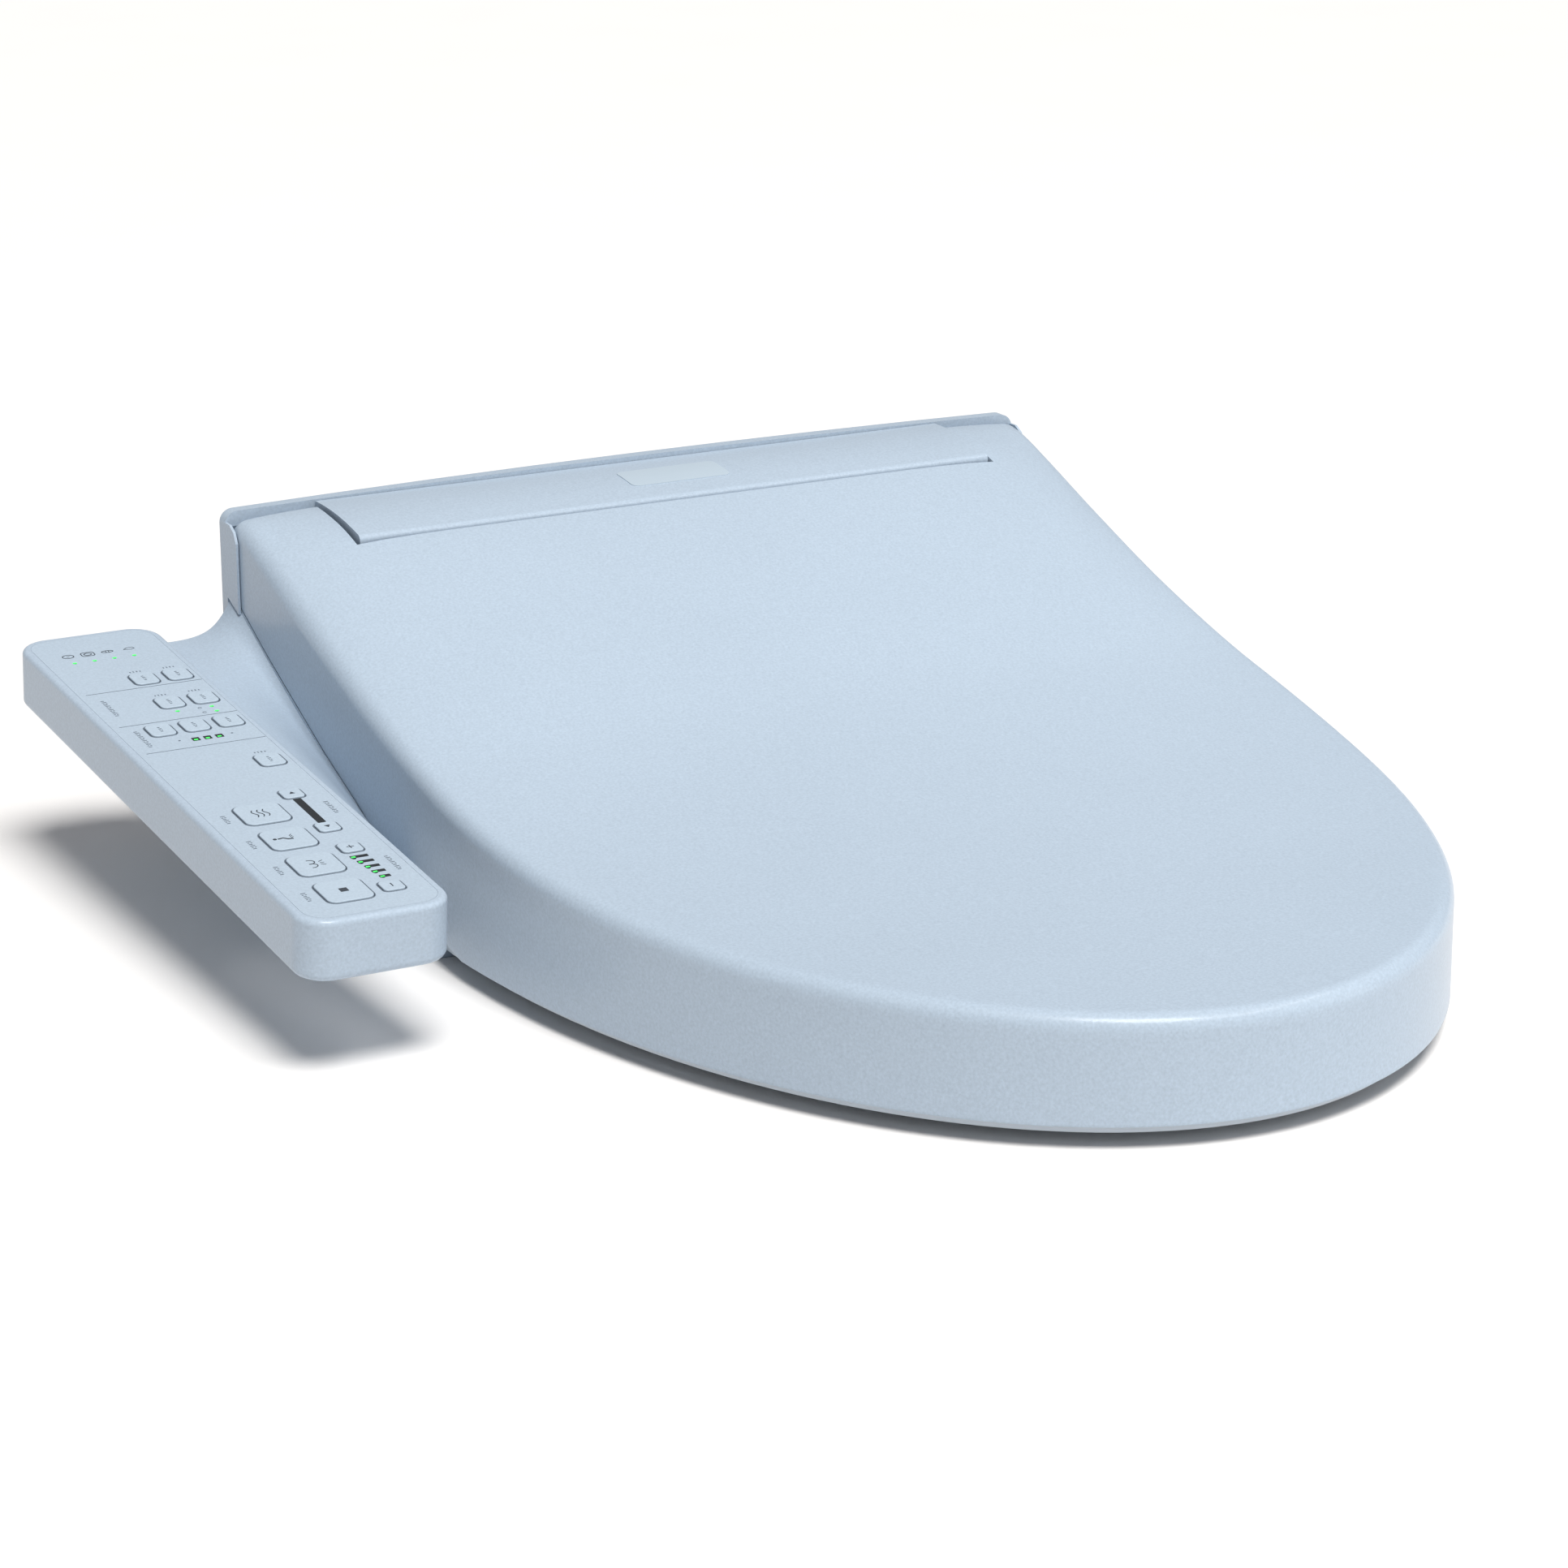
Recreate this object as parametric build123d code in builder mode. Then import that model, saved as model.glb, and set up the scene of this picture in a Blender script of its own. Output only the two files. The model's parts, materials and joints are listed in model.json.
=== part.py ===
"""Electric bidet seat: heated seat, soft-close lid, wash unit and side control panel.

Frame: +Z up, the front of the seat towards -Y, +X to the user's left when seated.
Origin: midway between the two fixing bolts, on the plane of the bowl's rim.
"""

import os
from math import atan, cos, pi, radians, sin

from build123d import *

os.makedirs("parts", exist_ok=True)

# ---- Driving dimensions, mm ----
WALL = 3.0
THIN_WALL = 2.0
CLEAR = 0.4  # between pieces that move past each other

# Lid and seat outline: straight sides, then half an ellipse
LID_HALF_WIDTH = 193.0
LID_TIP_Y = -469.5
ARC_CENTRE_Y = -162.5
LID_REAR_Y = 49.3
LID_RIM_Z = 9.0
LID_CORNER_RADIUS = 7.0
NOTCH_HALF_WIDTH = 155.0

# Lid crown: (y, height on the centre line, height at the side), rear to front
LID_CROWN = (
    (60, 138.6, 136.5),
    (36, 138.2, 133.8),
    (10, 135.0, 123.8),
    (-30, 123.5, 108.8),
    (-90, 103.0, 89.5),
    (-160, 82.0, 72.5),
    (-240, 66.5, 59.5),
    (-330, 56.5, 51.8),
    (-400, 52.5, 50.0),
    (-480, 49.5, 47.8),
)

# Seam between the lid's skirt and the body's flank, rear to front
SEAM = ((51, 104), (30, 94), (11, 84.5), (-15, 73), (-49, 58), (-82, 45.5), (-120, 29), (-176, 9))
SEAM_GAP = 1.0

# Hinge shared by the seat and the lid
HINGE_Y = 35.0
HINGE_Z = 125.0
PIN_RADIUS = 4.0
RUNNING = 0.05
SEAT_LIFT = 4.0  # degrees of air between the body and the seat's underside

# Main unit, side view
UNIT_HALF_WIDTH = 150.0
UNIT_FRONT_Y = -55.0
UNIT_REAR_Y = 50.5
CASE_SPLIT_Z = 15.5
SHELF_Z = 114.0
DECK = ((UNIT_REAR_Y, SHELF_Z), (0, SHELF_Z), (-15, 103), (-35, 78), (UNIT_FRONT_Y, 56))
NOSE_HALF_WIDTH = 85.0
NOSE_FRONT_Y = -100.0
NOSE = ((UNIT_FRONT_Y, 56), (-70, 42), (NOSE_FRONT_Y, 22))
FIN_TIP = (-152.0, 17.5)  # front end of the side fins that close the seam
FIN_FOOT = 16.0

# Rear cover
REAR_HALF_WIDTH = 194.5
REAR_BACK_Y = 58.5
REAR_TOP_Z = 141.1
REAR_SHOULDER_Z = 138.8
REAR_RIM = (
    (38.5, 96.7),
    (UNIT_REAR_Y, 101.7),
    (UNIT_REAR_Y + 2.5, 101.7),
    (UNIT_REAR_Y + 2.5, 134.4),
    (45.5, 134.4),
    (41.0, 132.0),
    (38.5, 127.5),
)

# Hinge strip between the lid's arms
STRIP_HALF_WIDTH = 153.0
STRIP_TOP = ((1.5, 134.0), (24.0, 137.9), (50.0, 139.0))
PLATE_CENTRE = (6.0, 24.5)
PLATE_SIZE = (48.0, 19.0)

# Seat ring
SEAT_INSET = 5.5
SEAT_ROUNDING = 3.0
HOLE_ROUNDING = 8.0
SEAT_REAR_Y = -7.0
SEAT_UNDER_Z = 5.0
SEAT_SPLIT_Z = 17.0
SEAT_TOP = ((-480, 41), (-190, 41), (-140, 46), (-100, 58), (-60, 80), (-30, 102), (SEAT_REAR_Y, 121))
HOLE_CENTRE_Y = -256.0
HOLE_RADII = (104.0, 138.0)

# Base plate and its bolts
BOLT_SPACING = 140.0
BOLT_HOLE_RADIUS = 4.5
BOLT_SLOT_LENGTH = 24.0
PLATE_HALF_WIDTH = 98.0
CHANNEL_HALF_WIDTH = 101.0
CHANNEL_ROOF_Z = 12.0

# Control panel: local axes are u across, v towards the rear, w out of the face
PANEL_SLOPE = 0.0905
PANEL_U = (-30.1, 30.9)
PANEL_V = (-261.5, 58.2)
PANEL_DEPTH = 24.8
PANEL_SPLIT = 12.0
PANEL_CORNER = 13.0
PANEL_ANGLE = atan(PANEL_SLOPE)
PANEL = Plane(
    origin=(-257.9, 0, 86.9),
    x_dir=(1, 0, 0),
    z_dir=(0, -sin(PANEL_ANGLE), cos(PANEL_ANGLE)),
)
PANEL_OUT = Axis(PANEL.origin, PANEL.z_dir)
OVERLAY_THICK = 0.3
BUTTON_PROUD = 0.6
BUTTON_STEM = 6.9
BOARD_TOP = -9.8
SWITCH_TOP = -7.9
LARGE_KEY = (18.4, 19.2, 3.5)
OPTION_KEY = (10.4, 12.2, 2.5)
SMALL_KEY = (8.6, 8.6, 1.8)
BUTTONS = {
    "button_stop": (-4.8, -237.3, LARGE_KEY),
    "button_rear_wash": (-4.8, -210.5, LARGE_KEY),
    "button_front_wash": (-4.8, -183.6, LARGE_KEY),
    "button_dryer": (-4.8, -156.8, LARGE_KEY),
    "button_position_back": (13.4, -142.2, SMALL_KEY),
    "button_position_forward": (13.4, -178.4, SMALL_KEY),
    "button_pressure_up": (13.4, -200.4, SMALL_KEY),
    "button_pressure_down": (13.4, -239.8, SMALL_KEY),
    "button_power": (5.1, -2.7, OPTION_KEY),
    "button_energy_saver": (19.7, -2.7, OPTION_KEY),
    "button_oscillate": (5.1, -31.9, OPTION_KEY),
    "button_pulsate": (19.7, -31.9, OPTION_KEY),
    "button_water_heat": (-9.4, -59.8, OPTION_KEY),
    "button_seat_heat": (5.1, -59.8, OPTION_KEY),
    "button_dryer_heat": (19.7, -59.8, OPTION_KEY),
    "button_wand_clean": (19.1, -105.8, OPTION_KEY),
}
LAMP_RADIUS = 0.8
STATUS_LAMPS = [(-14.9 + 8.7 * i, 25.4) for i in range(4)]
OPTION_LAMPS = [(4.7, -41.9), (19.5, -41.9), (19.5, -47.5)]
HEAT_LAMPS = [(0.2 + 5.0 * i, -73.9) for i in range(3)]
PRESSURE_LAMPS = [(10.8 + 0.75 * i, -210.3 - 5.1 * i) for i in range(5)]
LAMPS = STATUS_LAMPS + OPTION_LAMPS + HEAT_LAMPS + PRESSURE_LAMPS

# Wand: local z runs outwards and down along its stroke, local y is up from it
WAND_SLOPE = radians(35)
WAND = Plane(
    origin=(0, -98, 7),
    x_dir=(1, 0, 0),
    z_dir=(0, -cos(WAND_SLOPE), -sin(WAND_SLOPE)),
)
TUBE_RADIUS = 7.0
NOZZLE_RADIUS = 4.9
TUBE_SPAN = (-115.0, -8.0)
NOZZLE_SPAN = (-103.0, -6.0)
RACK_PITCH_LINE = -8.9
GEAR_MODULE = 1.0
PINION_TEETH = 14
PINION_AT = -55.0
PINION_RADIUS = GEAR_MODULE * PINION_TEETH / 2
MESH_GAP = 0.15

# Dryer
DRYER_X = (-78.0, -52.0)
DRYER_AXIS = (8.0, 62.0)
SCROLL_RADIUS = 30.0
DOOR_HINGE = (-98.6, 13.9)

# Water connections in the right-hand flank
INLET = (15.0, 32.0)
INLET_RADIUS = 10.48
INLET_NECK_RADIUS = 8.0
DRAIN = (-24.0, 28.0)
GLAND = (165.0, 35.0)
GLAND_RADIUS = 4.2
RELEASE = (5.0, 36.0)
RELEASE_SIZE = (26.0, 12.0)
SCREW_SPOTS = [(side * x, z) for side in (-1, 1) for x, z in ((185.5, 30.0), (142.5, 105.0))]


# ---- Shared outlines ----
def oval_outline(inset, rear):
    """Plan outline of the lid and the seat, drawn in the open sketch."""
    half = LID_HALF_WIDTH - inset
    depth = ARC_CENTRE_Y - LID_TIP_Y - inset
    with BuildLine() as outline:
        front = EllipticalCenterArc((0, ARC_CENTRE_Y), half, depth, start_angle=180, arc_size=180)
        Polyline(front @ 1, (half, rear), (-half, rear), front @ 0)
    make_face(outline.edges())


def crown_height(fraction, y, centre, edge):
    """Height of the lid's top at a fraction of its half-width: flat middle, soft shoulders."""
    power = 3.5 + 6.5 * min(max((y + 150) / 160, 0), 1)
    return edge + (centre - edge) * (1 - min(abs(fraction), 1) ** power)


def crown_sections(drop):
    """Cross-sections under the lid's top surface, lowered by drop."""
    half = LID_HALF_WIDTH + 2
    sections = []
    for y, centre, edge in LID_CROWN:
        with BuildSketch(Plane.XZ.offset(-y)) as section:
            with BuildLine():
                top = Spline(
                    *(
                        (f * half, crown_height(f, y, centre, edge) - drop)
                        for f in (-1, -0.88, -0.7, -0.35, 0, 0.35, 0.7, 0.88, 1)
                    )
                )
                Polyline(top @ 1, (half, -20), (-half, -20), top @ 0)
            make_face()
        sections.append(section.sketch)
    return sections


def side_face(points):
    """A closed outline in the side view, drawn in the open YZ sketch."""
    with BuildLine() as outline:
        Polyline(*points, close=True)
    make_face(outline.edges())


def turned(points, angle):
    """Side-view points turned up about the hinge, towards the open seat."""
    a = radians(-angle)
    return [
        (
            HINGE_Y + (y - HINGE_Y) * cos(a) - (z - HINGE_Z) * sin(a),
            HINGE_Z + (y - HINGE_Y) * sin(a) + (z - HINGE_Z) * cos(a),
        )
        for y, z in points
    ]


def side_plane(x):
    """Side-view plane at x, facing +X."""
    return Plane.YZ.offset(x)


def key_face(size, margin=0.0):
    """Rounded key outline, grown by margin, in the open sketch."""
    width, length, corner = size
    RectangleRounded(width + 2 * margin, length + 2 * margin, corner + margin)


# ---- Lid ----
with BuildPart() as lid_envelope:
    with BuildSketch():
        oval_outline(0, LID_REAR_Y)
    extrude(amount=160)
    loft(sections=crown_sections(0), mode=Mode.INTERSECT)
    rear_edges = lid_envelope.edges().filter_by(lambda e: e.center().Y > LID_REAR_Y - 0.1)
    fillet(rear_edges.filter_by(lambda e: e.center().Z > 130), LID_CORNER_RADIUS)

with BuildPart() as lid_cavity:
    with BuildSketch():
        oval_outline(WALL, LID_REAR_Y - WALL)
    extrude(amount=160)
    loft(sections=crown_sections(WALL), mode=Mode.INTERSECT)

with BuildPart() as lid:
    add(lid_envelope.part)
    add(lid_cavity.part, mode=Mode.SUBTRACT)
    with BuildSketch(Plane.YZ):
        below = [(y, z + SEAM_GAP if z > LID_RIM_Z else z) for y, z in SEAM]
        side_face([*below, (-500, LID_RIM_Z), (-500, -10), (60, -10), (60, 110)])
    extrude(amount=220, both=True, mode=Mode.SUBTRACT)
    with BuildSketch(Plane.YZ):
        side_face([(LID_REAR_Y - WALL - 1, HINGE_Z), (60, HINGE_Z), (60, 0), (LID_REAR_Y - WALL - 1, 0)])
    extrude(amount=LID_HALF_WIDTH - WALL, both=True, mode=Mode.SUBTRACT)
    with BuildSketch():
        with Locations((0, 40)):
            Rectangle(2 * NOTCH_HALF_WIDTH, 80)
    extrude(amount=200, mode=Mode.SUBTRACT)
lid.part.label = "lid"
export_step(lid.part, "parts/lid.step")

with BuildPart() as lid_hinge_bosses:
    for left in (-187.0, 168.0):
        with BuildSketch(side_plane(left)):
            with Locations((HINGE_Y, HINGE_Z)):
                Circle(8.6)
            side_face([(HINGE_Y, HINGE_Z - 4), (HINGE_Y, 140), (-3, 140), (-3, 117)])
            with Locations((HINGE_Y, HINGE_Z)):
                Circle(PIN_RADIUS + RUNNING, mode=Mode.SUBTRACT)
        extrude(amount=19)
    add(lid_cavity.part, mode=Mode.INTERSECT)
lid_hinge_bosses.part.label = "lid_hinge_bosses"
export_step(lid_hinge_bosses.part, "parts/lid_hinge_bosses.step")

with BuildPart() as lid_bumpers:
    with BuildSketch(Plane.XY.offset(SEAT_TOP[0][1] + 0.6)):
        with Locations(*((s * x, y) for s in (-1, 1) for x, y in ((140, -270), (62, -420)))):
            RectangleRounded(12, 20, 5)
    extrude(amount=40)
    add(lid_cavity.part, mode=Mode.INTERSECT)
lid_bumpers.part.label = "lid_bumpers"
export_step(lid_bumpers.part, "parts/lid_bumpers.step")

# ---- Seat ----
UNIT_SIDE = [(60, 0), *DECK[1:], *NOSE[1:], (NOSE_FRONT_Y, 0)]
FLANK_SEAM = [(y, z) for y, z in SEAM if y > UNIT_FRONT_Y]
FLANK_SIDE = [(60, 0), *FLANK_SEAM, (UNIT_FRONT_Y, 56), (UNIT_FRONT_Y, 0)]

SEAT_TOP_Z = SEAT_TOP[0][1]


def oval_distance(point, centre_y, half, depth):
    """Zero where a point lies on an ellipse in plan, positive outside it."""
    return (point.X / half) ** 2 + ((point.Y - centre_y) / depth) ** 2 - 1


def on_hole_rim(edge):
    """Whether an edge runs round the top of the seat's opening."""
    point = edge.position_at(0.3)
    return point.Z > SEAT_TOP_Z - 3 and abs(oval_distance(point, HOLE_CENTRE_Y, *HOLE_RADII)) < 0.01


def on_seat_rim(edge):
    """Whether an edge runs round the outside of the seat's top."""
    point = edge.position_at(0.5)
    half = LID_HALF_WIDTH - SEAT_INSET
    depth = ARC_CENTRE_Y - LID_TIP_Y - SEAT_INSET
    on_front = point.Y < ARC_CENTRE_Y and abs(oval_distance(point, ARC_CENTRE_Y, half, depth)) < 0.01
    on_side = point.Y >= ARC_CENTRE_Y and abs(abs(point.X) - half) < 0.1
    return (on_front or on_side) and point.Z > SEAT_TOP_Z - 3 and edge.length > 30


with BuildPart() as seat_envelope:
    with BuildSketch(Plane.XY.offset(SEAT_UNDER_Z)):
        oval_outline(SEAT_INSET, SEAT_REAR_Y)
    extrude(amount=140)
    with BuildSketch(Plane.YZ):
        with BuildLine():
            top = Spline(*SEAT_TOP[1:], tangents=((1, 0), (1, 0.75)))
            behind = (SEAT_REAR_Y + 40, SEAT_TOP[-1][1])
            Polyline(top @ 1, behind, (40, 0), (-480, 0), SEAT_TOP[0], top @ 0)
        make_face()
    extrude(amount=200, both=True, mode=Mode.INTERSECT)
    loft(sections=crown_sections(WALL + 2.5), mode=Mode.INTERSECT)
    with BuildSketch(Plane.YZ):
        side_face(turned(UNIT_SIDE, SEAT_LIFT) + [(-108, -20), (60, -20)])
    extrude(amount=UNIT_HALF_WIDTH + 2, both=True, mode=Mode.SUBTRACT)
    with BuildSketch(Plane.YZ):
        side_face(turned(FLANK_SIDE, SEAT_LIFT) + [(-62, -20), (60, -20)])
    extrude(amount=LID_HALF_WIDTH, both=True, mode=Mode.SUBTRACT)
    with BuildSketch():
        with Locations((0, HOLE_CENTRE_Y)):
            Ellipse(*HOLE_RADII)
    extrude(amount=200, mode=Mode.SUBTRACT)
    with BuildSketch(Plane.XY.offset(SEAT_UNDER_Z)):
        with Locations((0, HOLE_CENTRE_Y + HOLE_RADII[1] + 5)):
            RectangleRounded(22, 24, 4)
    extrude(amount=6, mode=Mode.SUBTRACT)

    hole_rim = seat_envelope.edges().filter_by(on_hole_rim)
    fillet(hole_rim, HOLE_ROUNDING)
    outer_rim = seat_envelope.edges().filter_by(on_seat_rim)
    fillet(outer_rim, SEAT_ROUNDING)

with BuildPart() as seat_cavity:
    with BuildSketch(Plane.XY.offset(SEAT_UNDER_Z + WALL)):
        oval_outline(SEAT_INSET + WALL, -112)
        with Locations((0, HOLE_CENTRE_Y)):
            Ellipse(HOLE_RADII[0] + WALL, HOLE_RADII[1] + WALL, mode=Mode.SUBTRACT)
    extrude(amount=SEAT_TOP[0][1] - SEAT_UNDER_Z - 2 * WALL)

with BuildPart() as seat_top:
    add(seat_envelope.part)
    add(seat_cavity.part, mode=Mode.SUBTRACT)
    split(bisect_by=Plane.XY.offset(SEAT_SPLIT_Z), keep=Keep.TOP)
seat_top.part.label = "seat_top"
export_step(seat_top.part, "parts/seat_top.step")

with BuildPart() as seat_base:
    add(seat_envelope.part)
    add(seat_cavity.part, mode=Mode.SUBTRACT)
    split(bisect_by=Plane.XY.offset(SEAT_SPLIT_Z), keep=Keep.BOTTOM)
seat_base.part.label = "seat_base"
export_step(seat_base.part, "parts/seat_base.step")

with BuildPart() as seat_heater:
    with BuildSketch(Plane.XY.offset(SEAT_TOP[0][1] - WALL - 1)):
        oval_outline(SEAT_INSET + WALL + 6, -135)
        with Locations((0, HOLE_CENTRE_Y)):
            Ellipse(HOLE_RADII[0] + WALL + 6, HOLE_RADII[1] + WALL + 6, mode=Mode.SUBTRACT)
    extrude(amount=0.8)
seat_heater.part.label = "seat_heater"
export_step(seat_heater.part, "parts/seat_heater.step")

with BuildPart() as seat_bumpers:
    with BuildSketch():
        with Locations(*((s * x, y) for s in (-1, 1) for x, y in ((150, -215), (88, -376)))):
            RectangleRounded(16, 34, 7)
    extrude(amount=SEAT_UNDER_Z)
seat_bumpers.part.label = "seat_bumpers"
export_step(seat_bumpers.part, "parts/seat_bumpers.step")

with BuildPart() as seat_hinge_arms:
    for left in (-165.5, 154.0):
        with BuildSketch(side_plane(left)):
            with Locations((HINGE_Y, HINGE_Z)):
                Circle(7.5)
            side_face(
                [
                    (HINGE_Y, HINGE_Z + 7.5),
                    (SEAT_REAR_Y, 120.5),
                    (SEAT_REAR_Y, 102),
                    (HINGE_Y, HINGE_Z - 7.5),
                ]
            )
            with Locations((HINGE_Y, HINGE_Z)):
                Circle(PIN_RADIUS + RUNNING, mode=Mode.SUBTRACT)
        extrude(amount=11.5)
seat_hinge_arms.part.label = "seat_hinge_arms"
export_step(seat_hinge_arms.part, "parts/seat_hinge_arms.step")

# ---- Main unit casings ----
with BuildPart() as wand_path:
    with BuildSketch(WAND.offset(-24)):
        with Locations((0, -1.2)):
            RectangleRounded(18, 19.5, 3)
    extrude(amount=60)

with BuildPart() as upper_case:
    with BuildSketch(Plane.YZ):
        side_face([(UNIT_REAR_Y, CASE_SPLIT_Z), *DECK, (UNIT_FRONT_Y, CASE_SPLIT_Z)])
    extrude(amount=UNIT_HALF_WIDTH, both=True)
    with BuildSketch(Plane.YZ):
        side_face([(UNIT_FRONT_Y, CASE_SPLIT_Z), *NOSE, (NOSE_FRONT_Y, CASE_SPLIT_Z)])
    extrude(amount=NOSE_HALF_WIDTH, both=True)
    with BuildSketch(Plane.YZ):
        flank = [(y, z) for y, z in SEAM if UNIT_FRONT_Y < y < UNIT_REAR_Y]
        side_face(
            [
                (UNIT_REAR_Y, CASE_SPLIT_Z),
                (UNIT_REAR_Y, 103.8),
                *flank,
                (UNIT_FRONT_Y, 55.7),
                (UNIT_FRONT_Y, CASE_SPLIT_Z),
            ]
        )
    extrude(amount=LID_HALF_WIDTH, both=True)
    openings = upper_case.faces().filter_by(Axis.Z).filter_by(lambda f: f.center().Z < CASE_SPLIT_Z + 1)
    rear_faces = upper_case.faces().filter_by(Axis.Y).filter_by(lambda f: f.center().Y > UNIT_REAR_Y - 1)
    offset(amount=-WALL, openings=openings + rear_faces)
    with BuildSketch(Plane.XZ.offset(-UNIT_REAR_Y)):
        with Locations(*SCREW_SPOTS):
            Rectangle(9, 9)
    extrude(amount=14)
    with BuildSketch(Plane.XZ.offset(-UNIT_REAR_Y)):
        with Locations(*SCREW_SPOTS):
            Circle(1.55)
    extrude(amount=12, mode=Mode.SUBTRACT)
    with BuildSketch(side_plane(-LID_HALF_WIDTH)):
        with Locations(INLET):
            Circle(INLET_NECK_RADIUS + 0.5)
        with Locations(DRAIN):
            Circle(5.5)
    extrude(amount=WALL, mode=Mode.SUBTRACT)
    with BuildSketch(side_plane(LID_HALF_WIDTH - WALL)):
        with Locations(RELEASE):
            RectangleRounded(RELEASE_SIZE[0] + 2 * CLEAR, RELEASE_SIZE[1] + 2 * CLEAR, 4)
    extrude(amount=WALL, mode=Mode.SUBTRACT)
    add(wand_path.part, mode=Mode.SUBTRACT)
upper_case.part.label = "upper_case"
export_step(upper_case.part, "parts/upper_case.step")

with BuildPart() as lower_case:
    with BuildSketch():
        with Locations((0, (UNIT_FRONT_Y + UNIT_REAR_Y) / 2)):
            Rectangle(2 * LID_HALF_WIDTH, UNIT_REAR_Y - UNIT_FRONT_Y)
        with Locations((0, (NOSE_FRONT_Y + UNIT_FRONT_Y) / 2)):
            Rectangle(2 * NOSE_HALF_WIDTH, UNIT_FRONT_Y - NOSE_FRONT_Y)
    extrude(amount=CASE_SPLIT_Z)
    with BuildSketch(Plane.XY.offset(WALL)):
        with Locations((0, (UNIT_FRONT_Y + UNIT_REAR_Y) / 2 + WALL / 2)):
            Rectangle(2 * (LID_HALF_WIDTH - WALL), UNIT_REAR_Y - UNIT_FRONT_Y - WALL)
        with Locations((0, (NOSE_FRONT_Y + UNIT_FRONT_Y) / 2 + WALL)):
            Rectangle(2 * (NOSE_HALF_WIDTH - WALL), UNIT_FRONT_Y - NOSE_FRONT_Y)
    extrude(amount=CASE_SPLIT_Z, mode=Mode.SUBTRACT)
    channel_front = -34.0
    with BuildSketch():
        with Locations((0, (channel_front - WALL + UNIT_REAR_Y) / 2)):
            Rectangle(2 * (CHANNEL_HALF_WIDTH + WALL), UNIT_REAR_Y - channel_front + WALL)
    extrude(amount=CHANNEL_ROOF_Z + WALL)
    with BuildSketch(Plane.XZ.offset(-channel_front)):
        with Locations((0, CHANNEL_ROOF_Z / 2)):
            Rectangle(2 * CHANNEL_HALF_WIDTH, CHANNEL_ROOF_Z)
        with Locations(*((s * (CHANNEL_HALF_WIDTH - 4), WALL / 2) for s in (-1, 1))):
            Rectangle(8, WALL, mode=Mode.SUBTRACT)
    extrude(amount=-100, mode=Mode.SUBTRACT)
    for left in (-LID_HALF_WIDTH, LID_HALF_WIDTH - WALL):
        with BuildSketch(side_plane(left)):
            fin = [(y, z) for y, z in SEAM if UNIT_FRONT_Y > y > FIN_TIP[0]]
            side_face([(UNIT_FRONT_Y, 0), (UNIT_FRONT_Y, 55.7), *fin, FIN_TIP, (FIN_TIP[0], 0)])
        extrude(amount=WALL)
    for side in (-1, 1):
        with BuildSketch():
            with Locations((side * (LID_HALF_WIDTH - FIN_FOOT / 2), (UNIT_FRONT_Y + FIN_TIP[0]) / 2)):
                Rectangle(FIN_FOOT, UNIT_FRONT_Y - FIN_TIP[0])
        extrude(amount=WALL)
    with BuildSketch(Plane.XZ.offset(-NOSE_FRONT_Y)):
        with Locations(((DRYER_X[0] + DRYER_X[1]) / 2, 9.2)):
            Rectangle(DRYER_X[1] - DRYER_X[0], 11.6)
    extrude(amount=-WALL, mode=Mode.SUBTRACT)
    with BuildSketch(side_plane(DRYER_X[0] - 2.2)):
        with Locations(DOOR_HINGE):
            Circle(0.8 + RUNNING)
    extrude(amount=DRYER_X[1] - DRYER_X[0] + 4.4, mode=Mode.SUBTRACT)
    add(wand_path.part, mode=Mode.SUBTRACT)
lower_case.part.label = "lower_case"
export_step(lower_case.part, "parts/lower_case.step")

with BuildPart() as rear_cover:
    with BuildSketch(Plane.XZ.offset(-UNIT_REAR_Y)):
        with BuildLine():
            crest = ThreePointArc(
                (-REAR_HALF_WIDTH, REAR_SHOULDER_Z), (0, REAR_TOP_Z), (REAR_HALF_WIDTH, REAR_SHOULDER_Z)
            )
            Polyline(crest @ 1, (REAR_HALF_WIDTH, 0), (-REAR_HALF_WIDTH, 0), crest @ 0)
        make_face()
        with Locations((0, 6.5)):
            Rectangle(2 * (CHANNEL_HALF_WIDTH + WALL), 13, mode=Mode.SUBTRACT)
    extrude(amount=-(REAR_BACK_Y - UNIT_REAR_Y))
    shoulders = rear_cover.edges().filter_by(Axis.Y).filter_by(lambda e: e.center().Z > 130)
    fillet(shoulders, 6)
    rims = rear_cover.edges().filter_by(lambda e: e.center().Z > 100 and not e.is_closed)
    fillet(rims.filter_by(lambda e: e.center().Y > REAR_BACK_Y - 0.1), 2)
    with BuildSketch(Plane.XZ.offset(-UNIT_REAR_Y)):
        with Locations((0, 62)):
            RectangleRounded(270, 84, 6)
    extrude(amount=-5, mode=Mode.SUBTRACT)
    for left in (-REAR_HALF_WIDTH, STRIP_HALF_WIDTH):
        with BuildSketch(side_plane(left)):
            with Locations((HINGE_Y, HINGE_Z)):
                Circle(17.2)
        extrude(amount=REAR_HALF_WIDTH - STRIP_HALF_WIDTH, mode=Mode.SUBTRACT)
    for left in (-REAR_HALF_WIDTH, LID_HALF_WIDTH + CLEAR):
        with BuildSketch(side_plane(left)):
            side_face(REAR_RIM)
        extrude(amount=REAR_HALF_WIDTH - LID_HALF_WIDTH - CLEAR)
    with BuildSketch(Plane.XZ.offset(-REAR_BACK_Y)):
        with Locations(GLAND):
            Circle(8)
        with Locations(*SCREW_SPOTS):
            Circle(1.7)
    extrude(amount=10, mode=Mode.SUBTRACT)
    with BuildSketch(Plane.XZ.offset(-REAR_BACK_Y)):
        with Locations(*SCREW_SPOTS):
            Circle(3.7)
    extrude(amount=3, mode=Mode.SUBTRACT)
rear_cover.part.label = "rear_cover"
export_step(rear_cover.part, "parts/rear_cover.step")

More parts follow.
